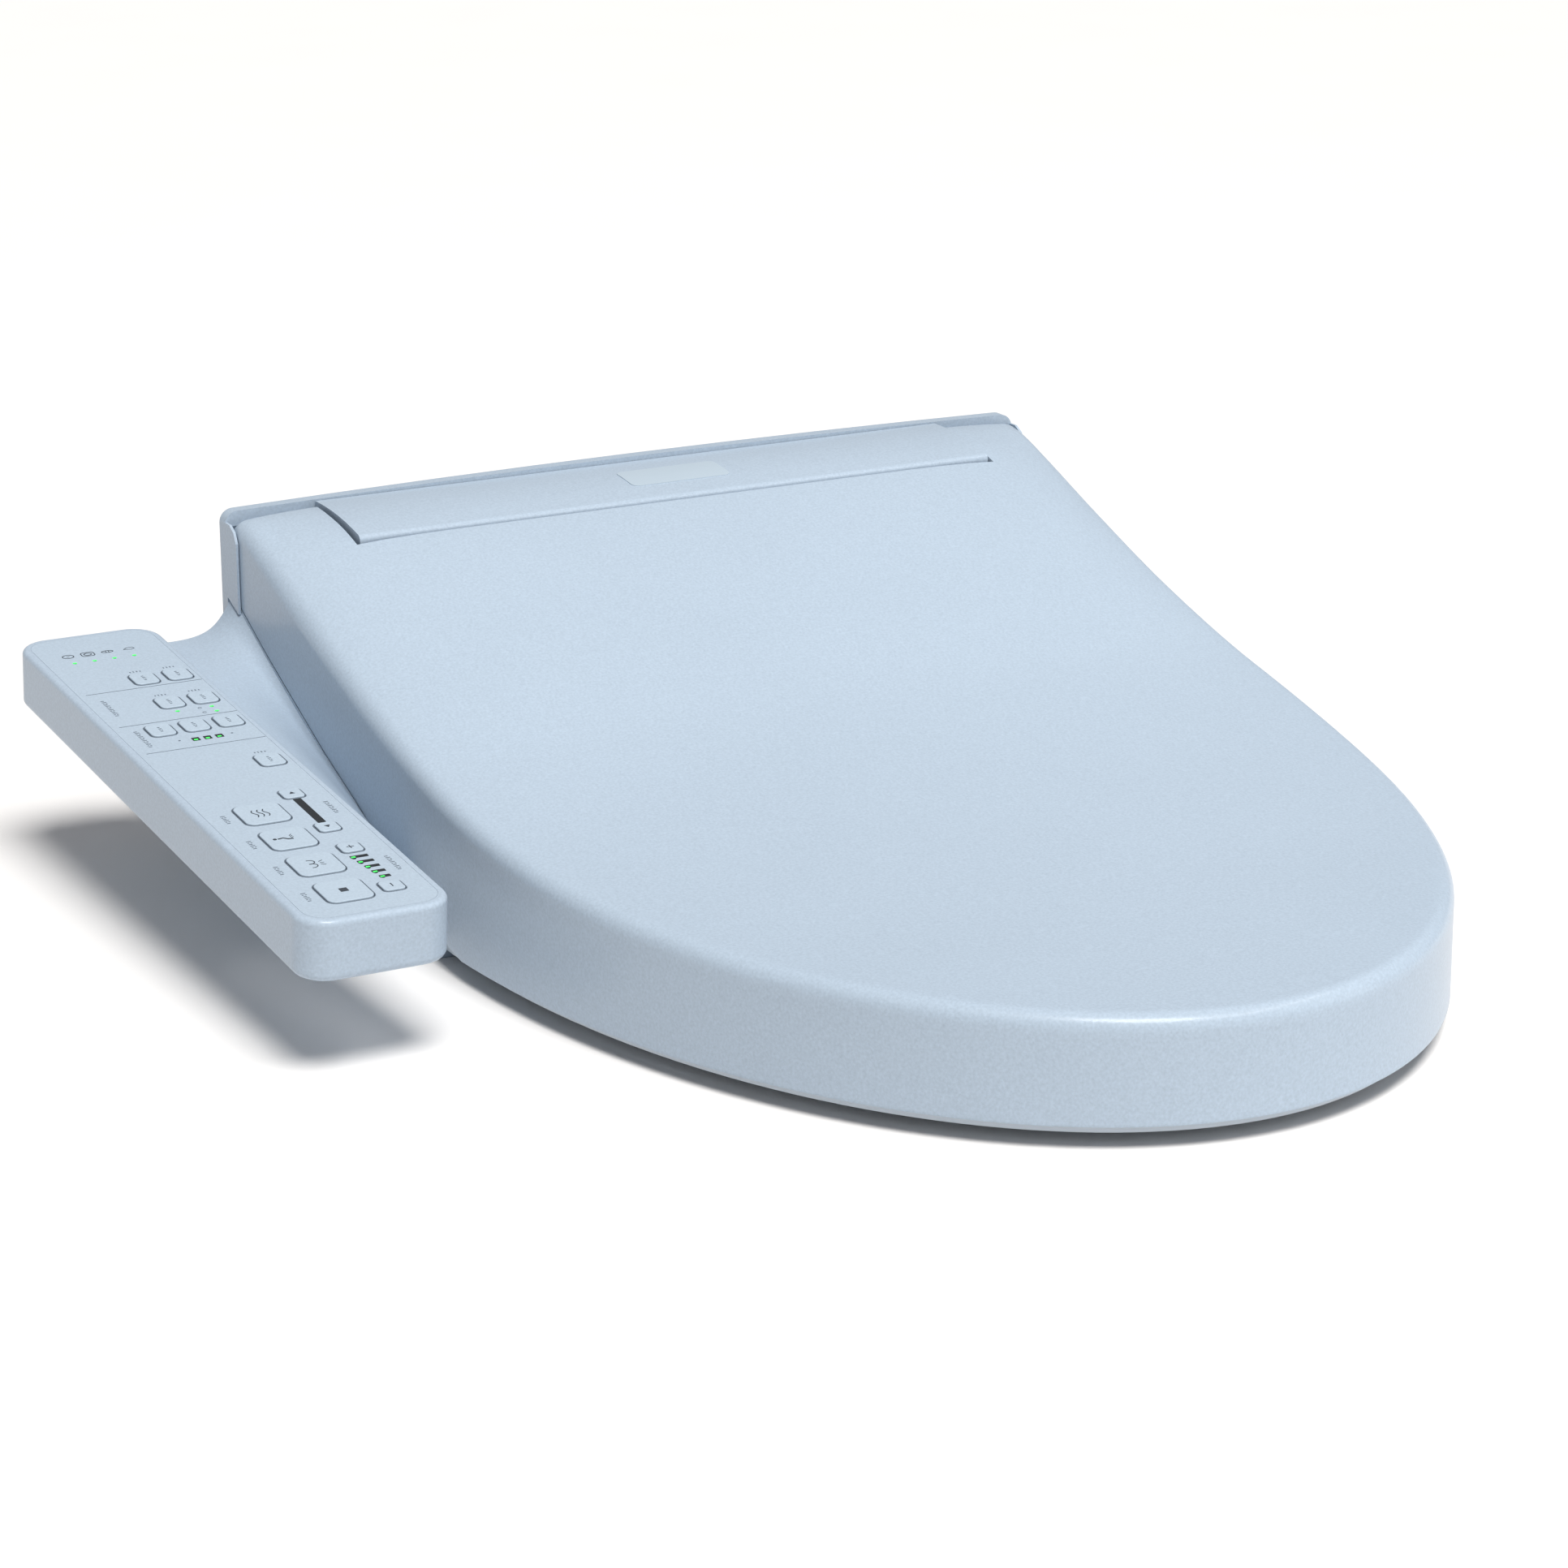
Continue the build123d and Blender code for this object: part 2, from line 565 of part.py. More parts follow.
with BuildPart() as case_screws:
    with BuildSketch(Plane.XZ.offset(-REAR_BACK_Y + 0.4)):
        with Locations(*SCREW_SPOTS):
            Circle(3.4)
    extrude(amount=2.5)
    with BuildSketch(Plane.XZ.offset(-REAR_BACK_Y + 2.9)):
        with Locations(*SCREW_SPOTS):
            Circle(1.5)
    extrude(amount=14)
    with BuildSketch(Plane.XZ.offset(-REAR_BACK_Y + 0.4)):
        with Locations(*SCREW_SPOTS):
            Rectangle(4, 0.8)
            Rectangle(0.8, 4)
    extrude(amount=1.2, mode=Mode.SUBTRACT)
case_screws.part.label = "case_screws"
export_step(case_screws.part, "parts/case_screws.step")


def strip_outline(lift):
    """Side outline of the hinge strip, its top raised by lift, in the open sketch."""
    with BuildLine() as outline:
        arch = ThreePointArc(*((y, z + lift) for y, z in STRIP_TOP))
        Polyline(arch @ 1, (STRIP_TOP[2][0], SHELF_Z), (STRIP_TOP[0][0], SHELF_Z), arch @ 0)
    make_face(outline.edges())


with BuildPart() as top_cover:
    with BuildSketch(Plane.YZ):
        strip_outline(0)
    extrude(amount=STRIP_HALF_WIDTH, both=True)
    long_edges = top_cover.edges().filter_by(Axis.X)
    fillet(long_edges.filter_by(lambda e: e.center().Y < 2 and e.center().Z > 130), 2.5)
    with BuildSketch(Plane.YZ):
        strip_outline(-THIN_WALL)
        with Locations((STRIP_TOP[0][0], SHELF_Z + 10)):
            Rectangle(2 * THIN_WALL, 40, mode=Mode.SUBTRACT)
        with Locations((STRIP_TOP[2][0], SHELF_Z + 10)):
            Rectangle(2 * THIN_WALL, 40, mode=Mode.SUBTRACT)
    extrude(amount=STRIP_HALF_WIDTH - THIN_WALL, both=True, mode=Mode.SUBTRACT)
    with BuildSketch(side_plane(-STRIP_HALF_WIDTH)):
        with Locations((HINGE_Y, HINGE_Z)):
            Circle(PIN_RADIUS + 0.5)
    extrude(amount=2 * STRIP_HALF_WIDTH, mode=Mode.SUBTRACT)
    with BuildSketch(Plane.XY.offset(130)):
        with Locations(PLATE_CENTRE):
            RectangleRounded(*PLATE_SIZE, 3)
    pocket = extrude(amount=20, mode=Mode.PRIVATE)
    with BuildSketch(Plane.YZ):
        strip_outline(-0.6)
    floor = extrude(amount=STRIP_HALF_WIDTH, both=True, mode=Mode.PRIVATE)
    add(pocket - floor, mode=Mode.SUBTRACT)
top_cover.part.label = "top_cover"
export_step(top_cover.part, "parts/top_cover.step")

with BuildPart() as blank_plate:
    with BuildSketch(Plane.YZ):
        strip_outline(0.3)
    extrude(amount=STRIP_HALF_WIDTH, both=True)
    with BuildSketch(Plane.YZ):
        strip_outline(-0.6)
    extrude(amount=STRIP_HALF_WIDTH, both=True, mode=Mode.SUBTRACT)
    with BuildSketch(Plane.XY.offset(130)):
        with Locations(PLATE_CENTRE):
            RectangleRounded(*PLATE_SIZE, 3)
    extrude(amount=20, mode=Mode.INTERSECT)
blank_plate.part.label = "blank_plate"
export_step(blank_plate.part, "parts/blank_plate.step")

# ---- Hinge hardware in the main unit ----
with BuildPart() as hinge_brackets:
    for left in (-149.0, 137.0):
        with BuildSketch(side_plane(left)):
            with Locations((HINGE_Y, HINGE_Z)):
                Circle(8)
            with Locations((HINGE_Y, (SHELF_Z + HINGE_Z) / 2)):
                Rectangle(22, HINGE_Z - SHELF_Z)
            with Locations((HINGE_Y, HINGE_Z)):
                Circle(PIN_RADIUS + RUNNING, mode=Mode.SUBTRACT)
        extrude(amount=12)
hinge_brackets.part.label = "hinge_brackets"
export_step(hinge_brackets.part, "parts/hinge_brackets.step")

with BuildPart() as hinge_pins:
    for left in (-186.5, 128.0):
        with BuildSketch(side_plane(left)):
            with Locations((HINGE_Y, HINGE_Z)):
                Circle(PIN_RADIUS)
        extrude(amount=58.5)
hinge_pins.part.label = "hinge_pins"
export_step(hinge_pins.part, "parts/hinge_pins.step")


with BuildPart() as hinge_dampers:
    for left in (-127.0, 95.0):
        with BuildSketch(side_plane(left)):
            with Locations((HINGE_Y, HINGE_Z)):
                Circle(8.5)
            with Locations((HINGE_Y, SHELF_Z + 4)):
                Rectangle(12, 8)
            with Locations((HINGE_Y, SHELF_Z + 1)):
                Rectangle(26, 2)
        extrude(amount=32)
hinge_dampers.part.label = "hinge_dampers"
export_step(hinge_dampers.part, "parts/hinge_dampers.step")

# ---- Base plate and release button ----
with BuildPart() as base_plate:
    with BuildSketch():
        Rectangle(2 * (PLATE_HALF_WIDTH - 7), 60)
    extrude(amount=10)
    with BuildSketch(Plane.XY.offset(3.5)):
        RectangleRounded(2 * PLATE_HALF_WIDTH, 60, 2)
    extrude(amount=6.5)
    with BuildSketch():
        with Locations(*((s * BOLT_SPACING / 2, 0) for s in (-1, 1))):
            SlotOverall(BOLT_SLOT_LENGTH, 2 * BOLT_HOLE_RADIUS)
    extrude(amount=10, mode=Mode.SUBTRACT)
    with BuildSketch(Plane.XY.offset(5)):
        with Locations(*((s * BOLT_SPACING / 2, 0) for s in (-1, 1))):
            SlotOverall(BOLT_SLOT_LENGTH + 12, 2 * BOLT_HOLE_RADIUS + 12)
        RectangleRounded(60, 44, 4)
    extrude(amount=5, mode=Mode.SUBTRACT)
base_plate.part.label = "base_plate"
export_step(base_plate.part, "parts/base_plate.step")

with BuildPart() as release_button:
    with BuildSketch(side_plane(LID_HALF_WIDTH - 6)):
        with Locations(RELEASE):
            RectangleRounded(*RELEASE_SIZE, 4)
    extrude(amount=7)
    with BuildSketch(side_plane(LID_HALF_WIDTH - 8)):
        with Locations(RELEASE):
            RectangleRounded(RELEASE_SIZE[0] + 4, RELEASE_SIZE[1] + 4, 4)
    extrude(amount=2)
    with BuildSketch(side_plane(LID_HALF_WIDTH - 26)):
        with Locations(RELEASE):
            Circle(3)
    extrude(amount=18)
    outer_rim = release_button.faces().sort_by(Axis.X)[-1].edges()
    fillet(outer_rim, 0.8)
release_button.part.label = "release_button"
export_step(release_button.part, "parts/release_button.step")

# ---- Control panel ----
PANEL_MIDDLE = ((PANEL_U[0] + PANEL_U[1]) / 2, (PANEL_V[0] + PANEL_V[1]) / 2)
PANEL_SIZE = (PANEL_U[1] - PANEL_U[0], PANEL_V[1] - PANEL_V[0])


def panel_rectangle(inset):
    """Rounded panel outline, inset all round, in the open sketch."""
    with Locations(PANEL_MIDDLE):
        RectangleRounded(PANEL_SIZE[0] - 2 * inset, PANEL_SIZE[1] - 2 * inset, PANEL_CORNER - inset)


def button_openings():
    """Key holes through the panel face, in the open sketch."""
    for u, v, size in BUTTONS.values():
        with Locations((u, v)):
            key_face(size, CLEAR)


with BuildPart() as panel_upper_shell:
    with BuildSketch(PANEL.offset(-PANEL_SPLIT)):
        panel_rectangle(0)
    extrude(amount=PANEL_SPLIT)
    fillet(panel_upper_shell.faces().sort_by(PANEL_OUT)[-1].edges(), 2.2)
    with BuildSketch(PANEL.offset(-PANEL_SPLIT)):
        panel_rectangle(2.5)
    extrude(amount=PANEL_SPLIT - 2.5, mode=Mode.SUBTRACT)
    with BuildSketch(PANEL):
        panel_rectangle(3.5)
    extrude(amount=-OVERLAY_THICK, mode=Mode.SUBTRACT)
    with BuildSketch(PANEL):
        button_openings()
        with Locations(*LAMPS):
            Circle(LAMP_RADIUS + 0.1)
    extrude(amount=-5, mode=Mode.SUBTRACT)
panel_upper_shell.part.label = "panel_upper_shell"
export_step(panel_upper_shell.part, "parts/panel_upper_shell.step")

with BuildPart() as panel_lower_shell:
    with BuildSketch(PANEL.offset(-PANEL_DEPTH)):
        panel_rectangle(0)
    extrude(amount=PANEL_DEPTH - PANEL_SPLIT)
    fillet(panel_lower_shell.faces().sort_by(PANEL_OUT)[0].edges(), 3)
    with BuildSketch(PANEL.offset(-PANEL_DEPTH + 2.5)):
        panel_rectangle(2.5)
    extrude(amount=PANEL_DEPTH, mode=Mode.SUBTRACT)
    with BuildSketch(PANEL.offset(-PANEL_DEPTH + 2.5)):
        with Locations(*((u, v) for u in (-20, 21) for v in (-245, -100, 42))):
            Circle(3)
    extrude(amount=PANEL_DEPTH - 2.5 - 11.4)
panel_lower_shell.part.label = "panel_lower_shell"
export_step(panel_lower_shell.part, "parts/panel_lower_shell.step")

with BuildPart() as panel_overlay:
    with BuildSketch(PANEL.offset(-OVERLAY_THICK)):
        panel_rectangle(3.6)
    extrude(amount=OVERLAY_THICK)
    with BuildSketch(PANEL):
        button_openings()
        with Locations(*LAMPS):
            Circle(LAMP_RADIUS + 0.1)
    extrude(amount=-1, mode=Mode.SUBTRACT)
panel_overlay.part.label = "panel_overlay"
export_step(panel_overlay.part, "parts/panel_overlay.step")

with BuildPart() as panel_lamps:
    with BuildSketch(PANEL.offset(BOARD_TOP)):
        with Locations(*LAMPS):
            Circle(LAMP_RADIUS)
    extrude(amount=-BOARD_TOP + 0.1)
panel_lamps.part.label = "panel_lamps"
export_step(panel_lamps.part, "parts/panel_lamps.step")

with BuildPart() as panel_board:
    with BuildSketch(PANEL.offset(BOARD_TOP - 1.6)):
        panel_rectangle(4)
    extrude(amount=1.6)
panel_board.part.label = "panel_board"
export_step(panel_board.part, "parts/panel_board.step")

with BuildPart() as panel_switches:
    with BuildSketch(PANEL.offset(BOARD_TOP)):
        with Locations(*((u, v) for u, v, size in BUTTONS.values())):
            Rectangle(6, 6)
    extrude(amount=SWITCH_TOP - BOARD_TOP)
panel_switches.part.label = "panel_switches"
export_step(panel_switches.part, "parts/panel_switches.step")

for name, (u, v, size) in BUTTONS.items():
    with BuildPart() as button:
        with BuildSketch(PANEL.offset(-4.4)):
            with Locations((u, v)):
                key_face(size)
        extrude(amount=4.4 + BUTTON_PROUD)
        fillet(button.faces().sort_by(PANEL_OUT)[-1].edges(), 0.4)
        with BuildSketch(PANEL.offset(-4.4)):
            with Locations((u, v)):
                key_face(size, 0.9)
        extrude(amount=1.2)
        with BuildSketch(PANEL.offset(-BUTTON_STEM)):
            with Locations((u, v)):
                Circle(2)
        extrude(amount=BUTTON_STEM - 4.4)
    button.part.label = name
    export_step(button.part, f"parts/{name}.step")

# Where the web crosses the seam, and how sharply it bends there: (y, seam height, bend)
ARM_STATIONS = (
    (UNIT_REAR_Y, 102.0, 4.5),
    (11, 83.5, 2.0),
    (-40, 61.0, 1.6),
    (-95, 41.0, 1.6),
    (-140, 22.4, 1.6),
)
ARM_OUTER_X = -226.9
ARM_DEPTH = 15.0

with BuildPart() as panel_arm:
    for y, seam_z, bend in ARM_STATIONS:
        face_z = PANEL.origin.Z + PANEL_SLOPE * y - 6
        reach = ARM_OUTER_X + LID_HALF_WIDTH
        with BuildSketch(Plane.XZ.offset(-y)):
            with BuildLine():
                web = Spline(
                    *(
                        (-LID_HALF_WIDTH + t * reach, face_z + (seam_z - face_z) * (1 - t) ** bend)
                        for t in (0, 0.12, 0.3, 0.6, 1)
                    )
                )
                outer_low = (ARM_OUTER_X, face_z - ARM_DEPTH)
                inner_low = (-LID_HALF_WIDTH, min(seam_z, face_z) - ARM_DEPTH)
                Polyline(web @ 1, outer_low, inner_low, web @ 0)
            make_face()
    loft()
panel_arm.part.label = "panel_arm"
export_step(panel_arm.part, "parts/panel_arm.step")

# ---- Wand and its drive ----
with BuildPart() as wand_guide:
    with BuildSketch(WAND.offset(-112)):
        with Locations((0, 0.2)):
            Rectangle(19, 17.6)
        Rectangle(15, 14.8, mode=Mode.SUBTRACT)
        with Locations((0, -8)):
            Rectangle(9, 6, mode=Mode.SUBTRACT)
    extrude(amount=90)
wand_guide.part.label = "wand_guide"
export_step(wand_guide.part, "parts/wand_guide.step")


def rack_teeth(first, last):
    """Trapezoid tooth gaps cut across the rack bar, one centred at the pinion."""
    pitch = pi * GEAR_MODULE
    start = int((first - PINION_AT) / pitch) - 1
    end = int((last - PINION_AT) / pitch) + 1
    for i in range(start, end + 1):
        s = PINION_AT + i * pitch
        side_face(
            [
                (s - 1.35, RACK_PITCH_LINE - 1.3),
                (s - 0.55, RACK_PITCH_LINE + 1.3),
                (s + 0.55, RACK_PITCH_LINE + 1.3),
                (s + 1.35, RACK_PITCH_LINE - 1.3),
            ]
        )


with BuildPart() as wand_tube:
    with BuildSketch(WAND.offset(TUBE_SPAN[0])):
        Circle(TUBE_RADIUS)
    extrude(amount=TUBE_SPAN[1] - TUBE_SPAN[0])
    with BuildSketch(WAND.offset(TUBE_SPAN[0])):
        with Locations((0, RACK_PITCH_LINE + 1.4)):
            Rectangle(6, 4.8)
    extrude(amount=70)
    with BuildSketch(WAND.offset(TUBE_SPAN[0] + 4)):
        Circle(NOZZLE_RADIUS + CLEAR)
    extrude(amount=TUBE_SPAN[1] - TUBE_SPAN[0], mode=Mode.SUBTRACT)
    rack_side = Plane(origin=WAND.origin, x_dir=WAND.z_dir, z_dir=(-1, 0, 0))
    with BuildSketch(rack_side):
        rack_teeth(TUBE_SPAN[0], TUBE_SPAN[0] + 70)
    extrude(amount=5, both=True, mode=Mode.SUBTRACT)
wand_tube.part.label = "wand_tube"
export_step(wand_tube.part, "parts/wand_tube.step")

with BuildPart() as wand_nozzle:
    with BuildSketch(WAND.offset(NOZZLE_SPAN[0])):
        Circle(NOZZLE_RADIUS)
    extrude(amount=NOZZLE_SPAN[1] - NOZZLE_SPAN[0])
    fillet(wand_nozzle.edges().sort_by(Axis.Y)[0:1], 2.5)
    with BuildSketch(WAND.offset(NOZZLE_SPAN[0])):
        Circle(2)
    extrude(amount=NOZZLE_SPAN[1] - NOZZLE_SPAN[0] - 8, mode=Mode.SUBTRACT)
    spray_face = Plane(origin=WAND.origin, x_dir=WAND.z_dir, z_dir=WAND.y_dir)
    with BuildSketch(spray_face):
        with Locations((-14, 0), (-18, 1.6), (-18, -1.6), (-22, 0)):
            Circle(0.6)
    extrude(amount=10, mode=Mode.SUBTRACT)
wand_nozzle.part.label = "wand_nozzle"
export_step(wand_nozzle.part, "parts/wand_nozzle.step")

PINION_CENTRE = WAND.from_local_coords((0, RACK_PITCH_LINE - PINION_RADIUS - MESH_GAP, PINION_AT))
PINION_PLANE = Plane(origin=PINION_CENTRE, x_dir=WAND.z_dir, z_dir=(-1, 0, 0))

with BuildPart() as wand_pinion:
    with BuildSketch(PINION_PLANE):
        Circle(PINION_RADIUS - 1.2)
        with BuildSketch(mode=Mode.PRIVATE) as tooth:
            with BuildLine():
                Polyline(
                    (PINION_RADIUS - 1.5, -1.0),
                    (PINION_RADIUS, -0.62),
                    (PINION_RADIUS + 0.95, -0.3),
                    (PINION_RADIUS + 0.95, 0.3),
                    (PINION_RADIUS, 0.62),
                    (PINION_RADIUS - 1.5, 1.0),
                    close=True,
                )
            make_face()
        with PolarLocations(0, PINION_TEETH, start_angle=90):
            add(tooth.sketch)
    extrude(amount=2.5, both=True)
    with BuildSketch(PINION_PLANE.offset(-22)):
        Circle(1.5)
    extrude(amount=24.5)
wand_pinion.part.label = "wand_pinion"
export_step(wand_pinion.part, "parts/wand_pinion.step")

with BuildPart() as wand_motor:
    with BuildSketch(PINION_PLANE.offset(-32)):
        Circle(9.5)
    extrude(amount=22)
    with BuildSketch(PINION_PLANE.offset(-24)):
        Circle(1.5 + RUNNING)
    extrude(amount=14, mode=Mode.SUBTRACT)
wand_motor.part.label = "wand_motor"
export_step(wand_motor.part, "parts/wand_motor.step")

# ---- Dryer ----
DUCT = ((-96.8, 4.0), (-96.8, 16.5), (-60, 38), (-21, 66), (-8, 33), (-58, 18))
DUCT_BORE = ((-99, 6.0), (-99, 14.0), (-59, 35.6), (-20, 62), (-12, 36), (-58.5, 20.4))

with BuildPart() as dryer_housing:
    with BuildSketch(side_plane(DRYER_X[0])):
        with Locations(DRYER_AXIS):
            Circle(SCROLL_RADIUS)
        side_face(DUCT)
    extrude(amount=DRYER_X[1] - DRYER_X[0])
    with BuildSketch(side_plane(DRYER_X[0] + THIN_WALL)):
        with Locations(DRYER_AXIS):
            Circle(SCROLL_RADIUS - THIN_WALL)
        side_face(DUCT_BORE)
    extrude(amount=DRYER_X[1] - DRYER_X[0] - 2 * THIN_WALL, mode=Mode.SUBTRACT)
    with BuildSketch(side_plane(DRYER_X[0])):
        with Locations(DRYER_AXIS):
            Circle(14)
    extrude(amount=THIN_WALL, mode=Mode.SUBTRACT)
    with BuildSketch(side_plane(DRYER_X[1] - 20)):
        with Locations(DRYER_AXIS):
            Circle(2)
    extrude(amount=20 - THIN_WALL)
dryer_housing.part.label = "dryer_housing"
export_step(dryer_housing.part, "parts/dryer_housing.step")


def impeller(left, axis, radius, hub, width, blades):
    """Centrifugal impeller turning about X: a back disc, a hub and forward-set blades."""
    with BuildSketch(side_plane(left)) as disc:
        with Locations(axis):
            Circle(radius)
    extrude(disc.sketch, amount=1.5)
    with BuildSketch(side_plane(left)) as blade_ring:
        with Locations(axis):
            Circle(hub)
            with PolarLocations(radius - 3.5, blades):
                Rectangle(5, 0.9, rotation=30)
    extrude(blade_ring.sketch, amount=width)
    with BuildSketch(side_plane(left)) as bore:
        with Locations(axis):
            Circle(2 + RUNNING)
    extrude(bore.sketch, amount=width, mode=Mode.SUBTRACT)


with BuildPart() as dryer_impeller:
    impeller(DRYER_X[0] + 5, DRYER_AXIS, 24, 6, 16, 24)
dryer_impeller.part.label = "dryer_impeller"
export_step(dryer_impeller.part, "parts/dryer_impeller.step")

with BuildPart() as dryer_heater:
    with BuildSketch(Plane.XY.offset(29)):
        with Locations(((DRYER_X[0] + DRYER_X[1]) / 2, -45)):
            Rectangle(20, 12)
            with GridLocations(4, 0, 4, 1):
                Rectangle(2, 8, mode=Mode.SUBTRACT)
    extrude(amount=9)
dryer_heater.part.label = "dryer_heater"
export_step(dryer_heater.part, "parts/dryer_heater.step")

with BuildPart() as dryer_door:
    door_middle = (DRYER_X[0] + DRYER_X[1]) / 2
    door_width = DRYER_X[1] - DRYER_X[0] - 0.8
    with BuildSketch(Plane.XZ.offset(-DOOR_HINGE[0] + 0.7)):
        with Locations((door_middle, (DOOR_HINGE[1] + 3.9) / 2)):
            Rectangle(door_width, DOOR_HINGE[1] - 3.9)
    extrude(amount=-1.4)
    with BuildSketch(side_plane(DRYER_X[0] + 0.4)):
        with Locations(DOOR_HINGE):
            Circle(0.9)
    extrude(amount=door_width)
    with BuildSketch(side_plane(DRYER_X[0] - 1.8)):
        with Locations(DOOR_HINGE):
            Circle(0.8)
    extrude(amount=DRYER_X[1] - DRYER_X[0] + 3.6)
dryer_door.part.label = "dryer_door"
export_step(dryer_door.part, "parts/dryer_door.step")

# ---- Deodoriser ----
DEODORISER_AXIS = (14.0, 50.0)
with BuildPart() as deodoriser_case:
    with BuildSketch(side_plane(104)):
        with Locations(DEODORISER_AXIS):
            RectangleRounded(52, 52, 5)
    extrude(amount=28)
    with BuildSketch(side_plane(106)):
        with Locations(DEODORISER_AXIS):
            RectangleRounded(48, 48, 4)
    extrude(amount=24, mode=Mode.SUBTRACT)
    with BuildSketch(side_plane(104)):
        with Locations(DEODORISER_AXIS):
            Circle(16)
    extrude(amount=28, mode=Mode.SUBTRACT)
    with BuildSketch(side_plane(104)):
        with Locations(DEODORISER_AXIS):
            Rectangle(3, 36)
            Circle(5)
    extrude(amount=2)
    with BuildSketch(side_plane(104)):
        with Locations(DEODORISER_AXIS):
            Circle(2)
    extrude(amount=14)
deodoriser_case.part.label = "deodoriser_case"
export_step(deodoriser_case.part, "parts/deodoriser_case.step")

with BuildPart() as deodoriser_fan:
    impeller(107, DEODORISER_AXIS, 20, 5, 10, 18)
deodoriser_fan.part.label = "deodoriser_fan"
export_step(deodoriser_fan.part, "parts/deodoriser_fan.step")

with BuildPart() as deodoriser_filter:
    with BuildSketch(side_plane(120)):
        with Locations(DEODORISER_AXIS):
            RectangleRounded(46, 46, 4)
            with GridLocations(6, 0, 7, 1):
                Rectangle(2, 40, mode=Mode.SUBTRACT)
    extrude(amount=8)
deodoriser_filter.part.label = "deodoriser_filter"
export_step(deodoriser_filter.part, "parts/deodoriser_filter.step")

# ---- Water path ----
with BuildPart() as heater_tank:
    with BuildSketch(Plane.XY.offset(18)):
        with Locations((62, 15)):
            RectangleRounded(60, 56, 8)
    extrude(amount=56)
    fillet(heater_tank.faces().sort_by(Axis.Z)[-1].edges(), 5)
    with BuildSketch(Plane.XY.offset(21)):
        with Locations((62, 15)):
            RectangleRounded(54, 50, 6)
    extrude(amount=48, mode=Mode.SUBTRACT)
    with BuildSketch(Plane.XY.offset(69)):
        with Locations((46, 10), (78, 10)):
            Circle(5)
    extrude(amount=14)
    with BuildSketch(Plane.XY.offset(60)):
        with Locations((46, 10), (78, 10)):
            Circle(3)
    extrude(amount=30, mode=Mode.SUBTRACT)
heater_tank.part.label = "heater_tank"
export_step(heater_tank.part, "parts/heater_tank.step")

with BuildPart() as inlet_valve:
    with BuildSketch(side_plane(-186)):
        with Locations((INLET[0], INLET[1])):
            RectangleRounded(30, 26, 4)
    extrude(amount=24)
    with BuildSketch(Plane.XY.offset(45)):
        with Locations((-174, INLET[0])):
            Circle(9)
    extrude(amount=18)
    with BuildSketch(side_plane(-186)):
        with Locations((INLET[0], INLET[1])):
            Circle(5)
    extrude(amount=12, mode=Mode.SUBTRACT)
inlet_valve.part.label = "inlet_valve"
export_step(inlet_valve.part, "parts/inlet_valve.step")

with BuildPart() as inlet_fitting:
    with BuildSketch(side_plane(-208)):
        with Locations(INLET):
            Circle(INLET_RADIUS)
    extrude(amount=12.5)
    with BuildSketch(side_plane(-195.5)):
        with Locations(INLET):
            Circle(INLET_NECK_RADIUS)
    extrude(amount=6)
    with BuildSketch(side_plane(-189.5)):
        with Locations(INLET):
            RegularPolygon(14, 6)
    extrude(amount=3.5)
    with BuildSketch(side_plane(-208)):
        with Locations(INLET):
            Circle(6)
    extrude(amount=22, mode=Mode.SUBTRACT)
inlet_fitting.part.label = "inlet_fitting"
export_step(inlet_fitting.part, "parts/inlet_fitting.step")

with BuildPart() as drain_plug:
    with BuildSketch(side_plane(-201)):
        with Locations(DRAIN):
            Circle(9)
            with PolarLocations(9.6, 12):
                Circle(1.4, mode=Mode.SUBTRACT)
    extrude(amount=7.7)
    with BuildSketch(side_plane(-193.3)):
        with Locations(DRAIN):
            Circle(5)
    extrude(amount=16)
drain_plug.part.label = "drain_plug"
export_step(drain_plug.part, "parts/drain_plug.step")

# ---- Electrics ----
with BuildPart() as cord_gland:
    with BuildSketch(Plane.XZ.offset(-REAR_BACK_Y)):
        with Locations(GLAND):
            Circle(8)
    extrude(amount=8)
    with BuildSketch(Plane.XZ.offset(-UNIT_REAR_Y)):
        with Locations(GLAND):
            Circle(11)
    extrude(amount=6)
    with BuildSketch(Plane.XZ.offset(-REAR_BACK_Y)):
        with Locations(GLAND):
            Circle(GLAND_RADIUS)
    extrude(amount=14, mode=Mode.SUBTRACT)
cord_gland.part.label = "cord_gland"
export_step(cord_gland.part, "parts/cord_gland.step")

with BuildPart() as main_board:
    with BuildSketch(Plane.XY.offset(96)):
        with Locations((10, 24)):
            Rectangle(200, 44)
    extrude(amount=1.6)
    with BuildSketch(Plane.XY.offset(97.6)):
        with Locations((-60, 24), (-45, 24)):
            Circle(6)
        with Locations((0, 24)):
            Rectangle(30, 22)
        with Locations((50, 30)):
            Rectangle(16, 16)
        with Locations((80, 20)):
            Rectangle(22, 10)
    extrude(amount=11)
main_board.part.label = "main_board"
export_step(main_board.part, "parts/main_board.step")
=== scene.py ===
"""Looks of the electric bidet seat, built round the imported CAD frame.

Lengths are in millimetres in the row's frame (+Z up, front towards -Y, panel on -X),
and are turned into metres where a mesh is made.
"""

import json
from math import atan, cos, pi, radians, sin

import bmesh
import bpy
from mathutils import Matrix, Vector


